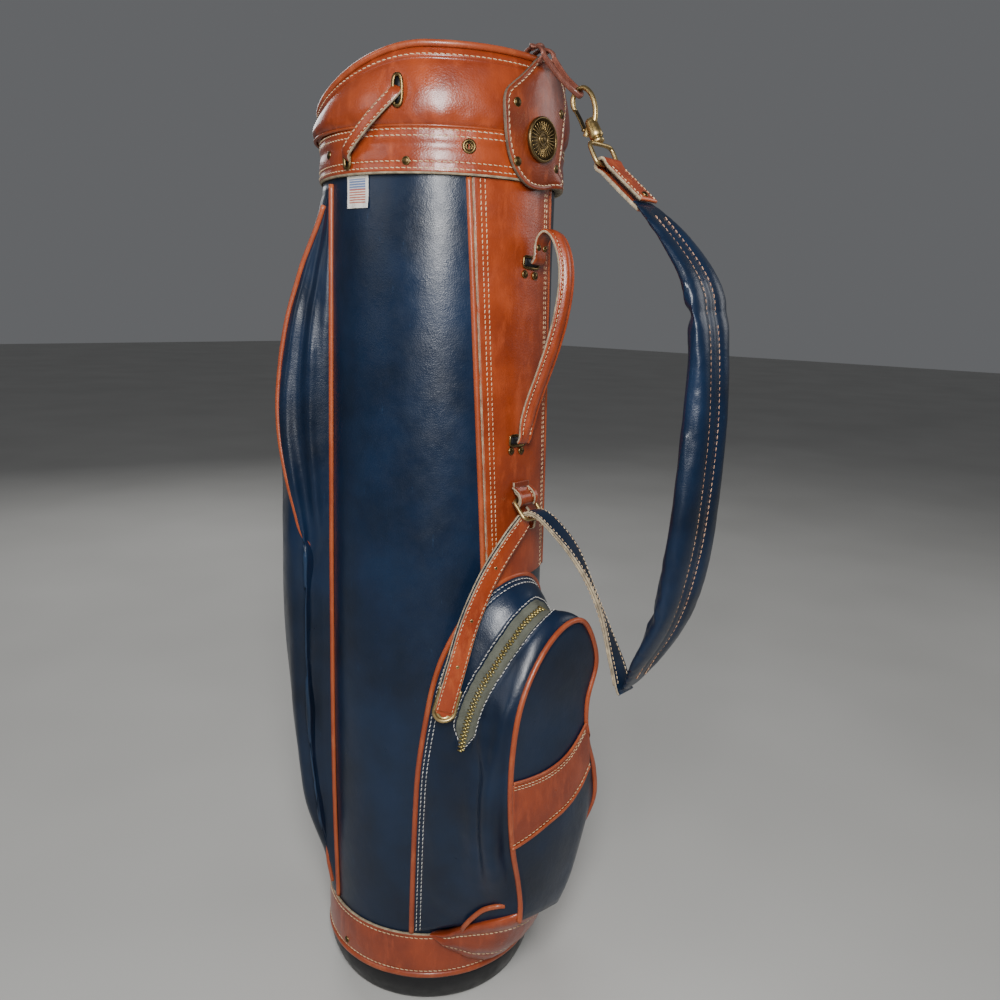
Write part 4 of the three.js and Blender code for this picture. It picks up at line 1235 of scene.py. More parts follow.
def make_narrow_strap():
    points = [(236, 362), (229, 354), (219, 376), (196, 424), (168, 463), (139.5, 484.4), (130, 488.2),
              (122, 488.0), (116.5, 483)]
    route = front_spline(points, 130)[7:]
    run = np.linspace(0, 1, len(route))
    tangent = tangents(route)
    across = around(90 + STRAP_TWIST * np.sin(np.pi * ease(run, 0.0, 0.88)), 1, 0)
    across = unit(across - dots(across, tangent) * tangent)
    out = np.cross(across, tangent)
    out *= np.sign(out[60, 2])
    width = level(run, (0, 21), (0.75, 19.5), (0.9, 18), (1, 17.5))
    navy, tan, rows = Shape(), Shape(), Shape()
    kinds = strap_section(1.0, 1.9)[1]
    flat = np.stack([strap_section(w, 1.9, 0.35)[0] for w in width])
    lined = np.stack([strap_section(w - 1.0, 1.8, 0.3)[0] for w in width])
    navy.swept(route + out * 1.0, out, flat, kinds=kinds)
    tan.swept(route[6:] - out[6:] * 1.0, -out[6:], lined[6:], kinds=kinds)
    for x in (-7.4, 7.4):
        for way in (1, -1):
            line = route + out * way * 2.1 + across * x
            rows.stitches(line[6:], out[6:] * way, **STRAP_THREAD)
    pieces = [finished("narrow_strap", navy, [NAVY, EDGE, NAVY], None, ["narrow_strap"]),
              finished("narrow_strap_lining", tan, [TAN, EDGE, TAN], None),
              finished("narrow_strap_stitches", rows, CREAM)]
    for piece in pieces:
        start, end = tuple(front(126, 487) * MM), tuple(front(168, 463) * MM)
        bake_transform(piece)
        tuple(start)
        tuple(end)


def make_tail():
    """The strap's loose tail on the left of the pocket, with its studs and brass end cap."""
    points = [around(0, 119.5, 484), around(-1.5, 117.5, 482), around(-4, 115.8, 475),
              around(-10, 114.8, 461), around(-19, 114.8, 436),
              around(-28.5, 118, 397), around(-35, 123, 354), around(-39.5, 125.5, 318)]
    route = spline(points, 110)
    run = np.linspace(0, 1, 110)
    side = around(87 - 37 * run, 1, -0.35 * run)
    tangent = tangents(route)
    side = unit(side - dots(side, tangent) * tangent)
    out = np.cross(side, tangent)
    out *= np.sign(dots(out, route * [1, 1, 0]).mean())
    tan, navy, rows = Shape(), Shape(), Shape()
    kinds = strap_section(17.5, 1.8)[1]
    tan.swept(route + out * 0.9, out, strap_section(17.5, 1.8, 0.4)[0], kinds=kinds)
    navy.swept(route - out * 0.95 - side * 0.8, -out, strap_section(19.0, 1.8, 0.2)[0], kinds=kinds)
    for x in (-6.6, 6.6):
        rows.stitches((route + out * 2.0 + side * x)[4:], out[4:], **STRAP_THREAD)
    finished("strap_tail", tan, [ORANGE, EDGE, TAN], "bag", ["strap_tail"])
    finished("strap_tail_backing", navy, [NAVY, EDGE, NAVY], "bag")
    finished("strap_tail_stitches", rows, CREAM, "bag")
    holes = Shape()
    for share in (0.3, 0.56, 0.78):
        i = int(share * 109)
        holes.dome(route[i] + out[i] * 2.05, out[i], 1.5, [(1, -0.5), (1, 0.35), (0.8, 0.6), (0.5, 0.4),
                                                           (0.2, 0.35)], 16)
    finished("strap_tail_studs", holes, BRASS, "bag")

    cap = Shape()
    end, along, across, outward = route[-1], tangent[-1], side[-1], out[-1]
    turn = np.linspace(-math.pi / 2, math.pi / 2, 30)
    curve = [end + along * (9.0 * math.cos(t) - 1) + across * 9.3 * math.sin(t) for t in turn]
    start = [curve[0] - along * d for d in (20, 12, 5)]
    finish = [curve[-1] - along * d for d in (5, 12, 20)]
    rim = spline([*start, *curve, *finish], 80)
    swell = 1.5 + 0.9 * hump(np.linspace(-1, 1, 80), 0, 0.35)
    cap.swept(rim, outward, circle(1.0, 12, 1.5)[None] * swell[:, None, None])
    turn = np.linspace(-1.2, 1.2, 24)
    plug = [end + along * (8.2 * math.cos(t) - 1) + across * 8.4 * math.sin(t) for t in turn]
    plate = np.stack([np.array(plug) + outward * h for h in (-1.6, 1.4, 1.9)])
    inward = np.array(plug) * 0.4 + (end + along * 3.0) * 0.6
    plate = [*plate, inward + outward * 1.9, inward - outward * 1.6]
    cap.add(np.vstack(plate), grid_faces(5, 24, True, False))
    finished("tail_cap", cap, BRASS, "bag", ["tail_cap"])
    tongue = Shape()
    lining = np.array([end + along * d for d in np.linspace(-4, 6.4, 12)])
    widths = 16.6 * np.sqrt(np.clip(1 - (np.linspace(-0.25, 0.9, 12).clip(0)) ** 2, 0.05, 1))
    sections = np.stack([strap_section(w, 2.6, 0.3)[0] for w in widths])
    tongue.swept(lining, outward, sections, kinds=kinds)
    finished("strap_tail_end", tongue, [ORANGE, EDGE, TAN], "bag")


def make_loop():
    """The brass loop under the handle and the folded chape that holds it."""
    top, bar = front(*LOOP_TOP), front(*LOOP_BAR)
    middle = (top + bar) / 2
    reach = unit(bar - top)
    half = float(np.linalg.norm(bar - top)) / 2
    x, d = rounded_box(LOOP_HALF, half, 64).T
    ring = middle + x[:, None] * np.array([1.0, 0, 0]) + d[:, None] * reach
    wire = Shape().swept(ring, np.cross(reach, [1.0, 0, 0]), circle(1.8, 12), closed=True)
    finished("buckle_loop", wire, BRASS, "bag", ["buckle_loop"])

    path = front_spline([(107.4, 513.5), (107.6, 510.5), (108.1, 507.6), (110.2, 504.4), (113.6, 502.4),
                         (114.8, 498.6), (113.2, 494.9), (110, 493.9), (106.9, 495.6)], 60)
    tangent = tangents(path)
    out = np.cross(tangent, [1.0, 0, 0])
    out *= np.sign(dots(out, path - front(*LOOP_TOP)))
    chape, rows = Shape(), Shape()
    section, kinds = strap_section(20, 1.9, 0.2)
    chape.swept(path, out, section, kinds=kinds)
    tabs = [(107.3, 509), (110.6, 507.6), (114.4, 505.2), (117, 501.2), (117.2, 496.8), (115.4, 493.2)]
    for x, width in ((-9.6, 3.6), (9.8, 4.6)):
        curl = front_spline([(*p, x) for p in tabs], 24)
        outward = np.cross(tangents(curl), [1.0, 0, 0])
        chape.swept(curl, outward, strap_section(width, 1.7)[0], kinds=kinds)
    for x in (-7.6, 7.6):
        line = (path + out * 1.15 + np.array([x, 0, 0]))[2:36]
        rows.stitches(line, out[2:36], **FINE_THREAD)
    finished("chape", chape, [TAN, EDGE, DEEP_TAN], "bag", ["chape"])
    finished("chape_stitches", rows, CREAM, "bag")
    keeper = Shape()
    fold = front_spline([(106.9, 489, 9), (110, 485.5, 10), (114.6, 480, 12), (113, 474.6, 13),
                         (108, 473, 13.5)], 24)
    section, kinds = strap_section(9, 2.0, 0.3)
    keeper.swept(fold, [1.0, -1.2, 0.2], section, kinds=kinds)
    finished("keeper_flap", keeper, [TAN, EDGE, DEEP_TAN], "bag")


# ---- ball pocket ----

LEFT = [  # from the bottom up: seam on the tube (azimuth, height), wall or zip (x, y, z), face edge (x, z)
    ((-54.0, 80), (-62, -104, 97), (-40, 120)),
    ((-53.6, 120), (-67, -107, 130), (-39.5, 138)),
    ((-53.0, 168), (-69, -108, 172), (-44, 164)),
    ((-52.2, 212), (-70, -108, 214), (-52, 197)),
    ((-51.0, 250), (-70, -107, 252), (-57, 238)),
    ((-48.0, 292), (-67, -108, 289), (-57.5, 282)),
    ((-43.6, 336), (-61, -115, 326), (-51, 324)),
    ((-37.0, 370), (-46, -125, 360), (-36, 355)),
    ((-25.0, 405), (-22, -133, 391), (-12, 380)),
    ((-9.0, 424), (-1, -134.5, 402), (14, 391)),
]
RIGHT_FACE = [  # from the bottom up: the face's right edge (x, y, z)
    (34, -128, 104), (46, -138, 132), (58, -147, 165), (69, -154, 197), (62, -157, 232), (48, -157, 270),
    (46, -157, 306), (57, -157, 338), (52, -157, 362), (36, -157, 386),
]
COLUMNS = 200
ROWS = 90
TAPE_HALF = 9.6
ZIP_SPAN = (0.262, 0.738)  # share of the columns from left to right


def pocket_columns():
    """Lines round the pocket: the seam on the tube, the fullest part of the wall, and the face's edge."""
    seam, wall, face = [], [], []
    for (azimuth, z), middle, (x, top) in LEFT:
        seam.append(around(azimuth, 104.2, z))
        wall.append(middle)
        face.append((x, -POCKET_FACE, top))
    for ((azimuth, z), middle, _), edge in zip(LEFT[::-1], RIGHT_FACE[::-1]):
        seam.append(around(-azimuth, 104.2, z))
        past_peak = float(ease(middle[2], 388, 402))
        drop = 2.4 * float(ease(middle[2], 370, 391))
        wall.append((-middle[0] + 7 * past_peak, middle[1] + drop, middle[2] - drop))
        face.append(edge)
    stations = [np.array(line, float) for line in (seam, wall, face)]
    share = np.linspace(0, 1, len(seam))
    even = np.linspace(0, 1, COLUMNS)
    fine = []
    for line in stations:
        fine.append(np.stack([level(even, *zip(share, line[:, k])) for k in range(3)], -1))
    return even, fine


def make_ball_pocket():
    """The pocket's wall as one sheet from the tube to the face, with its folds, zip, stitches and pipings."""
    even, (seam, wall, face) = pocket_columns()
    face_middle = np.array([0, -POCKET_FACE, 250.0])
    columns, zips = [], []
    low = ease(np.abs(even - 0.5), 0.24, 0.36) * ease(np.abs(even - 0.5), 0.5, 0.37)
    for b, m, f, side in zip(seam, wall, face, low):
        out = unit((b + f) / 2 * [1, 1, 0] - [0, -60, 0])
        out = unit(out * [1, 0.3, 0] + [0, 0, 0.9 * (1 - side)])
        flange = b * 0.86 + m * 0.14 + out * 0.4
        near = b * 0.5 + m * 0.5 + out * (1.5 + 2.0 * side)
        ridge = m * 0.42 + f * 0.58 + out * (4.5 + 4.5 * side)
        crease = m * 0.14 + f * 0.86 + out * (3.2 - 2.2 * side)
        column = spline([b, flange, near, m, ridge, crease, f], ROWS)
        columns.append(column)
        run = run_along(column)
        zips.append((run, run[np.argmin(np.linalg.norm(column - m, axis=1))]))
    grid = np.stack(columns)
    normal = unit(np.cross(np.gradient(grid, axis=1), np.gradient(grid, axis=0)))
    normal *= np.sign((normal * (grid - [0, -100, 250])).sum(-1).mean())
    runs = np.stack([r for r, _ in zips])
    centres = np.array([c for _, c in zips])
    off_zip = runs - centres[:, None]
    along_zip = np.minimum(even - ZIP_SPAN[0], ZIP_SPAN[1] - even)
    opened = ease(along_zip, -0.015, 0.02)
    folds = 1.1 * wobble(grid, 38, 3) + 0.5 * wobble(grid, 14, 9)
    soft = ease(runs, 8, 26) * ease(runs[:, -1:] - runs, 3, 16)
    recess = 1.8 * (1 - ease(np.abs(off_zip), TAPE_HALF - 1.2, TAPE_HALF + 0.8)) * opened[:, None]
    lip = 0.7 * hump(np.abs(off_zip), TAPE_HALF + 2.2, 1.2) * opened[:, None]
    beyond = off_zip / (runs[:, -1:] - centres[:, None])
    left_side = (even < 0.5) * ease(even, 0.05, 0.14) * ease(even, 0.36, 0.24)
    fork = ease(even, 0.19, 0.3)[:, None]
    ridge = 5.2 * hump(beyond, 0.62 + 0.12 * fork, 0.15) + 3.2 * fork * hump(beyond, 0.62 - 0.28 * fork, 0.11)
    hollow = 2.2 * hump(beyond, 0.36, 0.10) * (1 - fork) + 1.8 * hump(beyond, 0.9, 0.08)
    ridge = (ridge - hollow) * left_side[:, None]
    sewn = 0.6 * (hump(runs, 5.0, 0.9) + hump(runs, 9.4, 0.9))
    rippled = grid + normal * (folds * soft + ridge - recess + lip - sewn)[..., None]
    shape = Shape().grid(rippled)
    finished("ball_pocket_wall", shape, NAVY, "bag", ["ball_pocket"], thick=1.2)

    def lane(distance, out, along=slice(None)):
        """A line on the wall at a distance from the seam, raised by out, and the way out along it."""
        distance = np.broadcast_to(distance, COLUMNS)
        lines = []
        for surface in (rippled, normal):
            lines.append(np.array([on_line(*column) for column in zip(distance, runs, surface)]))
        ways = unit(lines[1])
        return (lines[0] + ways * out)[along], ways[along]

    rows = Shape()
    for distance in (5.0, 9.4):
        rows.stitches(*lane(distance, 0.0), **POCKET_THREAD)
    inside = along_zip > -0.012
    spread = (TAPE_HALF + 2.2) * np.clip((along_zip + 0.012) / 0.028, 0, 1)
    for way in (-1, 1):
        rows.stitches(*lane(centres + way * spread, 0.25, inside), **POCKET_THREAD)
    finished("ball_pocket_stitches", rows, WHITE_THREAD, "bag")

    width = TAPE_HALF * np.clip((along_zip + 0.01) / 0.024, 0.02, 1)
    sheet = []
    for share in np.linspace(-1, 1, 13):
        points, ways = lane(centres + share * width, 1.0)
        crumple = 0.5 * wobble(points, 9, 5) * (0.2 + hump(even, 0.47, 0.05) * 1.6)
        sheet.append((points + ways * crumple[:, None])[inside])
    tape = Shape().grid(np.stack(sheet))
    finished("ball_zip_tape", tape, TAPE, "bag", ["ball_zip_chain"], thick=0.6)
    points, ways = lane(centres, 1.9, inside)
    finished("ball_zip_teeth", zip_teeth(points, ways), TEETH, "bag")

    piping = Shape()
    bead = np.array([(-2.6, -0.8), (-2.4, 0.9), (-1.6, 2.0), (-0.5, 2.5), (0.6, 2.5), (1.7, 1.9),
                     (2.5, 0.8), (2.6, -0.8)])
    piping.swept(seam, seam * [1, 1, 0], bead)
    hem = face + unit(face - face_middle) * 0.8 + np.array([0, -0.6, 0])
    out = unit((face - face_middle) * 0.5 + np.array([0, -40.0, 0]))
    piping.swept(resampled(hem, 200), resampled(out, 200), circle(2.5, 12))
    finished("ball_pocket_piping", piping, PIPING, "bag")
    make_face(face)


def right_edge(height):
    """How far to the right the face reaches at a height."""
    return level(height, *[(z, x) for x, _, z in RIGHT_FACE])


def face_out(x, z):
    """How far the face stands out. It is crowned low down, and its lower right corner turns back."""
    depth = level(z, *[(height, POCKET_FACE + y) for _, y, height in RIGHT_FACE])
    near = np.clip((right_edge(z) - x) / 26, 0, 1)
    turned = depth * (1 - np.sqrt(np.maximum(1 - (1 - near) ** 2, 0)))
    across = np.clip(np.abs(x - 2) / 60, 0, 1)
    crown = level(z, (104, 0), (125, 5), (160, 8.5), (210, 8), (250, 4.5), (300, 1.5), (350, 1.5), (395, 0))
    return crown * (1 - across ** 2) - turned + 1.0 * wobble(np.stack([x, 0 * x, z], -1), 55, 6)


def on_face(x, z, out):
    rise = face_out(x, z)
    return np.stack([x, -(POCKET_FACE + out + rise), z], -1)


def make_face(face):
    """The pocket's crowned face inside the piping, and the tan band across it."""
    outline = np.vstack([face[:, [0, 2]], spline([face[-1, [0, 2]], (0, 112), face[0, [0, 2]]], 30)[1:-1]])
    outline = resampled(outline, 240, closed=True)
    rings = [(0, 1, -1.0)] + [(1.2, 1 - 0.05 * i, 0.0) for i in range(19)]
    shape = Shape().patch(outline, rings, on_face, under=-3.0)
    finished("ball_pocket_face", shape, NAVY, "bag")

    band, edges, rows = Shape(), Shape(), Shape()
    xs = np.linspace(-56.0, 52.0, 60)
    low = level(xs, (-56, 201), (-35, 206), (-15, 211), (5, 214.5), (23, 219.5), (38, 227), (54, 241))
    high = level(xs, (-56, 264), (-35, 261.5), (-11, 261), (10, 264.5), (24, 270), (36, 278), (50, 290))
    across = np.linspace(0, 1, 15)
    right, right_high = right_edge(low), right_edge(high)
    surface = []
    for t in across:
        edge = right * (1 - t) + right_high * t
        crown = 1.4 + 0.4 * np.sin(np.pi * t)
        surface.append(on_face(np.minimum(xs, edge - 1), low + (high - low) * t, crown))
    band.grid(np.stack(surface))
    finished("ball_pocket_band", band, TAN, "bag", ["ball_pocket_band"], thick=1.4)
    for z, way, edge in ((low, 1, right), (high, -1, right_high)):
        line = on_face(np.minimum(xs, edge - 1), z, 1.6 + 0 * xs)
        line = line[xs < edge]
        edges.swept(line, [0, -1.0, 0.1 * -way], circle(1.6, 10, 0.8))
        for off in (3.6, 6.2) if way < 0 else (3.6,):
            inside = xs < edge - 2
            line = on_face(xs[inside], (z + off * way)[inside], 1.9)
            rows.stitches(line, [0, -1.0, 0], pitch=4.2, length=3.3, thick=0.38)
    finished("band_piping", edges, PIPING, "bag")
    finished("band_stitches", rows, CREAM, "bag")


def zip_teeth(points, ways, pitch=1.75):
    """Two rows of interlocking metal teeth along a line."""
    count = int(np.linalg.norm(np.diff(points, axis=0), axis=1).sum() / pitch)
    line, ways = resampled(points, count), unit(resampled(ways, count))
    tangent = tangents(line)
    shape = Shape()
    corners = np.array([(a, b, c) for a in (-1, 1) for b in (-1, 1) for c in (-1, 1)], float)
    faces = [(0, 1, 3, 2), (4, 6, 7, 5), (0, 4, 5, 1), (2, 3, 7, 6), (0, 2, 6, 4), (1, 5, 7, 3)]
    for i, (p, t, n) in enumerate(zip(line, tangent, ways)):
        side = np.cross(t, n) * (1 if i % 2 else -1)
        reach = corners[:, :1] * t * 0.6 + corners[:, 1:2] * side * 2.2 + corners[:, 2:] * n * 0.8
        shape.add(p + side * 1.15 + reach, faces)
    return shape


WEDGE_TOP = [(-74, -76, 80), (-70, -90, 86), (-64, -108, 98), (-57, -130, 112), (-50, -146, 121),
             (-41, -155.5, 125.5), (-28, -159, 125), (-12, -157, 121), (5, -151.5, 116), (22, -142, 110),
             (38, -130, 104), (52, -114, 96), (64, -94, 87), (74, -76, 80)]
WEDGE_FOOT = [(-73, -76, 77), (-69, -83, 74), (-63, -88, 68), (-55, -92, 60), (-46, -97, 51),
              (-36, -102, 45), (-25, -106, 42), (-12, -109, 43), (2, -111, 47), (16, -110, 51),
              (32, -104, 56), (48, -96, 62), (63, -85, 70), (73, -76, 77)]
WEDGE_PROFILE = [  # share of the way from the top edge to the foot, and how far out
    (0.0, -8.0), (-0.02, -1.0), (0.0, 0.8), (0.04, 2.6), (0.09, 3.4), (0.15, 3.0), (0.2, 1.7), (0.24, 1.1),
    (0.29, 1.9), (0.4, 3.6), (0.5, 5.0), (0.6, 5.6), (0.68, 4.6), (0.72, 3.4), (0.76, 3.8), (0.84, 4.2),
    (0.92, 2.8), (0.98, 0.8), (1.0, -1.0), (1.0, -8.0),
]


def make_base_wedge():
    """The tan gusset under the ball pocket, creased and rolled outward, and its loose end of piping."""
    count = 160
    top = spline(WEDGE_TOP, count)
    foot = spline(WEDGE_FOOT, count)
    tangent = tangents(top)
    out = unit(np.cross(tangent, [0, 0, 1.0]) * [1, 1, 0])
    out *= np.sign(dots(out, top * [1, 1, 0] - [0, -60, 0]).mean())
    run = np.linspace(-1, 1, count)
    ends = ease(np.abs(run), 1.0, 0.82)
    nose = hump(run, -0.28, 0.3)
    rows = []
    for share, rise in WEDGE_PROFILE:
        line = top * (1 - share) + foot * share
        droop = -3.0 * np.sin(np.pi * share) * ends
        crumple = 0.9 * wobble(line, 15, 2) + 0.5 * wobble(line, 6, 9)
        reach = np.where(rise < -5, rise, (rise + crumple) * (0.25 + 0.6 * ends + 0.35 * nose))
        rows.append(line + out * reach[:, None] + np.array([0, 0, 1.0]) * droop[:, None])
    shape = Shape().grid(np.stack(rows), wrap_rows=True)
    finished("ball_pocket_base", shape, TAN, "bag", ["ball_pocket_base"])
    sewing = Shape()
    for row in (7, 13):
        line = rows[row] + out * 0.3
        sewing.stitches(line[10:-10], out[10:-10], pitch=4.4, length=3.4)
    finished("ball_pocket_base_stitches", sewing, CREAM, "bag")
    strip = Shape()
    loose = spline([(-64.5, -109, 98), (-65.5, -112.5, 104), (-63, -120.5, 116), (-59, -131, 128),
                    (-53.5, -141, 133.5), (-47.5, -145.5, 133.5)], 40)
    strip.swept(loose, [-1.0, -0.5, 0.6], circle(2.3, 10, 0.8))
    finished("loose_piping", strip, PIPING, "bag")


def add_slider(shape, centre, along, out, across):
    """A zip slider's body: two rounded plates joined at the middle, and the bridge that holds the pull."""
    for rise, width, length in ((-1.4, 4.2, 6.4), (1.5, 3.8, 6.4)):
        line = np.array([centre + along * d + out * rise for d in np.linspace(-length, length, 9)])
        widths = width * np.array([0.6, 0.92, 1, 1, 0.95, 0.95, 1, 0.92, 0.6])
        sections = np.stack([strap_section(2 * w, 1.3, round_edge=0.5)[0] for w in widths])
        shape.swept(line, out, sections)
    bridge = spline([centre - along * 5 + out * 2.0, centre - along * 3 + out * 4.4,
                     centre + along * 2 + out * 4.4, centre + along * 4.5 + out * 2.0], 14)
    shape.swept(bridge, across, circle(1.0, 8, 1.6))
    return shape.dome(centre, out, 2.0, [(1, -1.6), (1, 1.6)], 12)


def add_pull(shape, top, along, out, length):
    """A zip pull: a tab with a ring end, a waist and a round hole at its foot."""
    line = np.array([top + along * d for d in np.linspace(0, length, 16)])
    widths = np.interp(np.linspace(0, 1, 16), [0, 0.08, 0.3, 0.7, 0.93, 1], [1.6, 2.4, 2.0, 2.9, 3.0, 1.8])
    sections = np.stack([strap_section(2 * w, 1.2, 0.1, round_edge=0.5)[0] for w in widths])
    shape.swept(line, out, sections)
    for d, size in ((0.12, 1.1), (0.8, 1.7)):
        shape.dome(top + along * length * d + out * 0.3, out, size,
                   [(1, 0), (0.9, 0.55), (0.6, 0.5), (0.3, 0.2)], 14)
    return shape


def make_zip_parts():
    """Sliders and pulls, each where its CAD solid is."""
    for name, body in (("ball_zip", "ball"), ("long_zip", "long")):
        low, high = [np.array(v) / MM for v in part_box(f"{name}_slider")]
        centre = (low + high) / 2
        pull_low, pull_high = [np.array(v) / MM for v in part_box(f"{name}_pull")]
        pull = (pull_low + pull_high) / 2
        if name == "long_zip":
            along, out = np.array([0, 0, -1.0]), np.array([1.0, 0, 0])
        else:
            c, s = math.cos(SLIDER_TURN), math.sin(SLIDER_TURN)
            upward = np.array([0, -math.sin(ZIP_LEAN), math.cos(ZIP_LEAN)])
            out = upward * s + [c, 0, 0]
            along = upward * -c + [s, 0, 0]
        carriage = add_slider(Shape(), centre, along, out, np.cross(along, out))
        finished(f"{name}_slider", carriage, BRASS, f"{body}_slider", [f"{name}_slider"])
        tab = add_pull(Shape(), pull - along * 11, along, out, 22)
        finished(f"{name}_pull", tab, BRASS, f"{body}_pull", [f"{name}_pull"])


# ---- long garment pocket ----

LONG_NODES = ["long_pocket_back", "long_pocket_left", "long_pocket_right"]
# height and azimuth of the left seam
SEAM = [(82, -107), (180, -111), (390, -111), (560, -108), (LONG_TOP, -104)]
TUBE = 104  # radius the pocket starts from
GUSSET_POINTS = 36
PANEL_POINTS = 90
FACE_EDGE = [  # height, azimuth and radius of the piping round the pocket's face, on the left
    (84, -112, 105), (110, -113, 109), (160, -115, 117), (240, -116.5, 125), (320, -117, 127),
    (400, -116, 127), (440, -114.7, 127.5), (470, -115.7, 132.5), (500, -117, 138.5), (557, -120, 145.5),
    (629, -120.3, 139), (690, -117, 124), (735, -110, 109), (755, -106.5, 104.5),
]
BULGE = [  # height, and how far the left side swells out
    (84, 0), (130, 3), (220, 4), (320, 4), (420, 4), (480, 5), (540, 3), (620, 0), (755, 0)]
FULLEST = [  # height, and radius of the fullest part at the back
    (84, 106), (111, 117), (216, 136), (303, 149), (385, 154), (483, 151), (557, 147), (629, 140),
    (690, 124), (730, 111), (755, 104.5)]


def pocket_section(height):
    """The long pocket's outline at a height, from its left seam round the back to its right seam."""
    full = float(level(height, *FULLEST))
    seam = float(level(height, *SEAM))
    edge_azimuth = float(level(height, *[(z, a) for z, a, _ in FACE_EDGE]))
    edge_radius = float(level(height, *[(z, r) for z, _, r in FACE_EDGE]))
    bulge = float(level(height, *BULGE))
    swell = (full - TUBE) / 45

    def swollen(share):
        return TUBE + (full - TUBE) * share

    tucked = float(ease(height, 112, 160) * ease(height, 462, 430))
    left = [around(seam, 103.9, height), around(seam - 1.2, 105.5 + 7 * swell, height),
            around((seam + edge_azimuth) / 2 - 1, TUBE + (edge_radius - TUBE) * 0.62 + bulge, height),
            around(edge_azimuth + 1.5 + tucked, edge_radius - 1.5 + bulge * 0.4 + 1.5 * tucked, height),
            around(edge_azimuth - 0.6 * tucked, edge_radius - 8 * tucked, height)]
    puff = float(ease(height, 105, 190) * ease(height, 505, 440))
    back = [around(edge_azimuth - 3 - 2 * (1 - puff), edge_radius + 2.5 * swell + 0.5 + 7 * puff, height)]
    for azimuth, share in ((-140, 0.93), (-160, 0.8), (180, 0.76), (160, 0.78)):
        back.append(around(azimuth, swollen(share), height))
    flat = ease(height, 100, 170) * ease(height, 735, 655)
    right = [around(139, swollen(0.86), height),
             np.array([97.4 * flat + (1 - flat) * 84, 84.0 * flat + (1 - flat) * 62, height]),
             np.array([99.4 * flat + (1 - flat) * 91.5, ZIP_Y * flat + (1 - flat) * 50, height]),
             np.array([99.8 * flat + (1 - flat) * 98.9, 34.0 * flat + (1 - flat) * 31, height]),
             around(107, 103.9, height)]
    return left, back, right


def beside_zip(out, off, low, high, count):
    """A line up the long pocket's flat side, off to one side of the zip."""
    return np.stack([np.full(count, ZIP_X + out), np.full(count, ZIP_Y + off),
                     np.linspace(low, high, count)], -1)


def make_long_pocket():
    """The garment pocket round the back, from its left seam to the zipped right side."""
    low, high = np.linspace(LONG_BOTTOM - 3, 130, 14), np.linspace(706, LONG_TOP + 4, 14)
    heights = np.concatenate([low, np.linspace(136, 700, 80), high])
    columns = []
    for z in heights:
        left, back, right = pocket_section(float(np.clip(z, LONG_BOTTOM, LONG_TOP)))
        gusset = spline(left, GUSSET_POINTS)
        panel = spline([left[-1], *back, right[0]], PANEL_POINTS)
        zipped = spline(right, 40)
        outline = np.vstack([gusset[:-1], panel, zipped[1:]])
        outline[:, 2] = z
        columns.append(outline)
    grid = np.stack(columns)
    normal = unit(np.cross(np.gradient(grid, axis=1), np.gradient(grid, axis=0)))
    normal *= np.sign((normal * grid * [1, 1, 0]).sum(-1).mean())
    index = np.arange(grid.shape[1])
    soft = ease(index, 2, 12) * ease(grid.shape[1] - 1 - index, 26, 44)
    stretch = np.array([1, 1, 0.28])
    folds = 2.4 * wobble(grid * stretch, 26, 4) + 0.9 * wobble(grid * stretch, 9, 1)
    gusset_only = hump(index, 18, 14)
    waist = ease(heights, 90, 180) * ease(heights, 745, 640)
    flat_zip = np.exp(-((index - (grid.shape[1] - 20)) / 12.0) ** 2)
    amount = (folds * (0.45 + 0.55 * gusset_only) * soft) * waist[:, None] * (1 - 0.9 * flat_zip)
    pleats = 3.2 * hump(index, 13, 3.5) - 2.2 * hump(index, 21, 3.5) + 2.0 * hump(index, 28, 3.0)
    amount = amount + pleats * (ease(heights, 400, 520) * ease(heights, 730, 620))[:, None]
    rippled = grid + normal * amount[..., None]
    shape = Shape().grid(rippled)
    finished("long_pocket", shape, NAVY, "bag", LONG_NODES, thick=1.4)

    piping = Shape()
    bead = np.array([(-2.4, -0.8), (-2.2, 0.9), (-1.4, 2.0), (-0.4, 2.5), (0.6, 2.5), (1.6, 1.9),
                     (2.3, 0.8), (2.4, -0.8)])
    for line in (grid[:, 0], grid[:, -1]):
        piping.swept(line, line * [1, 1, 0], bead)
    for column in (GUSSET_POINTS - 1, GUSSET_POINTS + PANEL_POINTS - 2):
        line = rippled[3:-4, column] + normal[3:-4, column] * 0.6
        line = resampled(line, 200)
        piping.swept(line, line * [1, 1, 0], circle(2.3, 12))
    finished("long_pocket_piping", piping, PIPING, "bag")

    hem = Shape()
    sealed = rippled[0]
    lid = np.stack([sealed, sealed * [0.965, 0.965, 1]])
    hem.grid(lid)
    finished("long_pocket_hem", hem, NAVY, "bag", thick=1.2)

    wave = 0.15 * np.sin(np.linspace(176, 644, 120) / 17)
    sheet = [beside_zip(0.5 + wave, off, 176, 644, 120) for off in np.linspace(-11, 11, 9)]
    tape = Shape().grid(np.stack(sheet))
    finished("long_zip_tape", tape, TAPE, "bag", ["long_zip_chain"], thick=0.8)
    line = beside_zip(1.5, 0, 178, 640, 60)
    teeth = zip_teeth(line, np.broadcast_to([1.0, 0, 0], line.shape))
    finished("long_zip_teeth", teeth, TEETH, "bag")
    rows = Shape()
    for off in (-12.6, 12.6):
        rows.stitches(beside_zip(0.3, off, 172, 648, 100), [1.0, 0, 0], **POCKET_THREAD)
    finished("long_zip_stitches", rows, WHITE_THREAD, "bag")


# ---- inside of the bag ----


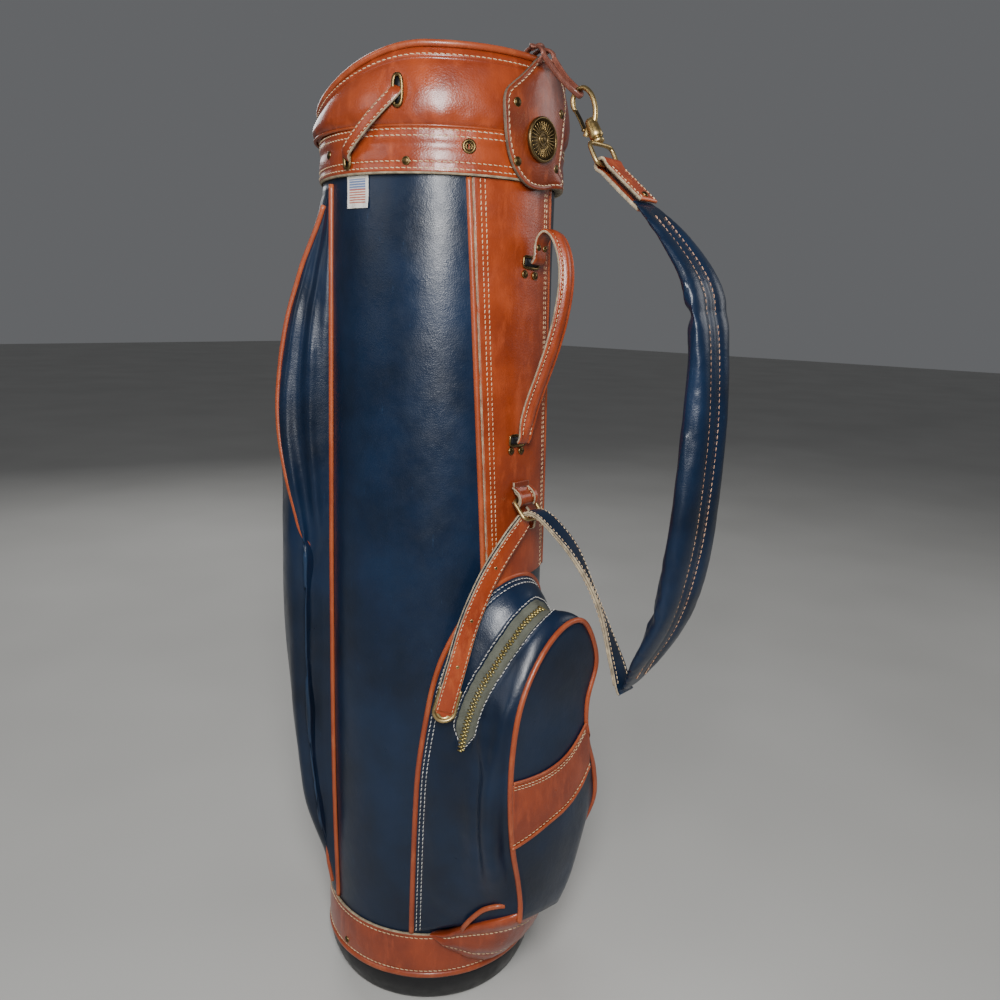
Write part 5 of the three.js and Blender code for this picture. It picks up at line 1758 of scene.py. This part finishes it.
def make_inside():
    """The lining, the rim's binding and the padded divider ring."""
    inner = BODY_RADIUS - WALL - GAP
    shares = np.linspace(0, 1, 20)
    a, s = np.meshgrid(ROUND, shares, indexing="ij")
    z = 700 + s * (rim_height(a) - 6 - 700)
    ripple = 0.5 * wobble(around(a, inner, z), 25, 13)
    face = around(a, inner - 1.7 - 0.3 + ripple, z)
    back = around(a[:, ::-1], inner, z[:, ::-1])
    liner = Shape().grid(np.concatenate([face, back], 1), True, True)
    finished("top_liner", liner, LINING, "bag", ["top_liner"])
    edge = around(ROUND, 100.6, rim_height(ROUND) - 3.4)
    lip = Shape().swept(edge, around(ROUND, 1, 0), circle(2.4, 10), closed=True)
    finished("rim_binding", lip, DEEP_TAN, "bag")

    hoop = Shape()
    hoop.swept(around(ROUND, 94.4, 775.0), [0, 0, 1.0], rounded_box(3.6, 7.6, 16, 0.6), closed=True)
    bar = rounded_box(5.6, 7.8, 18, 0.7)
    across = np.stack([np.linspace(-93, 93, 40), np.zeros(40), np.full(40, 775.0)], -1)
    hoop.swept(across, [0, 0, 1.0], bar)
    short = np.stack([np.zeros(24), np.linspace(2, 93, 24), np.full(24, 775.2)], -1)
    hoop.swept(short, [0, 0, 1.0], bar)
    finished("divider_hoop", hoop, LINING, "bag", ["divider_hoop"])
    for name in ("divider_panels", "floor_pad"):
        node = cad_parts[name]
        node.data.materials.clear()
        node.data.materials.append(LINING)


# ---- floor, light and camera ----


def make_stage():
    floor_mesh = bpy.data.meshes.new("floor")
    size = 12.0
    corners = [(-size, -size, 0), (size, -size, 0), (size, size, 0), (-size, size, 0)]
    floor_mesh.from_pydata(corners, [], [(0, 1, 2, 3)])
    floor = bpy.data.objects.new("floor", floor_mesh)
    bpy.context.scene.collection.objects.link(floor)
    look = Look("pale_floor", roughness=0.85)
    look.bump(look.noise(3, 3), 0.05)
    patches = look.spread(look.noise(500, 2), 0.3, 0.7)
    floor_mesh.materials.append(look.done(look.mixed(patches, tone("b9b8b4"), tone("c2c1bd"))))

    world = bpy.data.worlds.new("studio")
    bpy.context.scene.world = world
    world.use_nodes = True
    background = world.node_tree.nodes["Background"]
    background.inputs["Color"].default_value = (0.86, 0.88, 0.92, 1)
    background.inputs["Strength"].default_value = 0.15
    # name, place, width, height and power
    lamps = [("key", (-0.68, -0.69, 0.95), 0.2, 0.46, 15), ("fill", (-1.9, 0.5, 1.3), 1.0, 1.0, 7),
             ("side", (1.7, -1.3, 1.4), 1.0, 1.0, 9), ("back", (0.7, 1.9, 1.7), 1.2, 1.2, 18)]
    for name, place, width, height, power in lamps:
        data = bpy.data.lights.new(name, "AREA")
        data.shape = "RECTANGLE"
        data.size = width
        data.size_y = height
        data.energy = power
        lamp = bpy.data.objects.new(name, data)
        lamp.location = place
        lamp.rotation_euler = (Vector((0, 0, 0.5)) - Vector(place)).to_track_quat("-Z", "Y").to_euler()
        bpy.context.scene.collection.objects.link(lamp)


def make_camera():
    place = Vector((-0.57682, -0.60267, 0.66394))
    ahead = Vector((0.7257, 0.6534, -0.2155)).normalized()
    level_right = Vector((ahead.y, -ahead.x, 0)).normalized()
    level_up = level_right.cross(ahead)
    roll = 0.028
    right = math.cos(roll) * level_right + math.sin(roll) * level_up
    up = -math.sin(roll) * level_right + math.cos(roll) * level_up
    data = bpy.data.cameras.new("camera")
    data.sensor_width = 36.0
    data.lens = 31.68
    camera = bpy.data.objects.new("camera", data)
    axes = Matrix((right, up, -ahead)).transposed()
    camera.matrix_world = Matrix.Translation(place) @ axes.to_4x4()
    bpy.context.scene.collection.objects.link(camera)
    bpy.context.scene.camera = camera


make_camera()
make_stage()
make_boot()
make_tube()
make_belt()
make_spine()
make_cuff()
make_shield()
make_tag()
make_label()
make_handle()
make_hook()
make_lace()
make_strap_tip()
make_pad()
make_narrow_strap()
make_tail()
make_loop()
make_ball_pocket()
make_base_wedge()
make_zip_parts()
make_long_pocket()
make_inside()
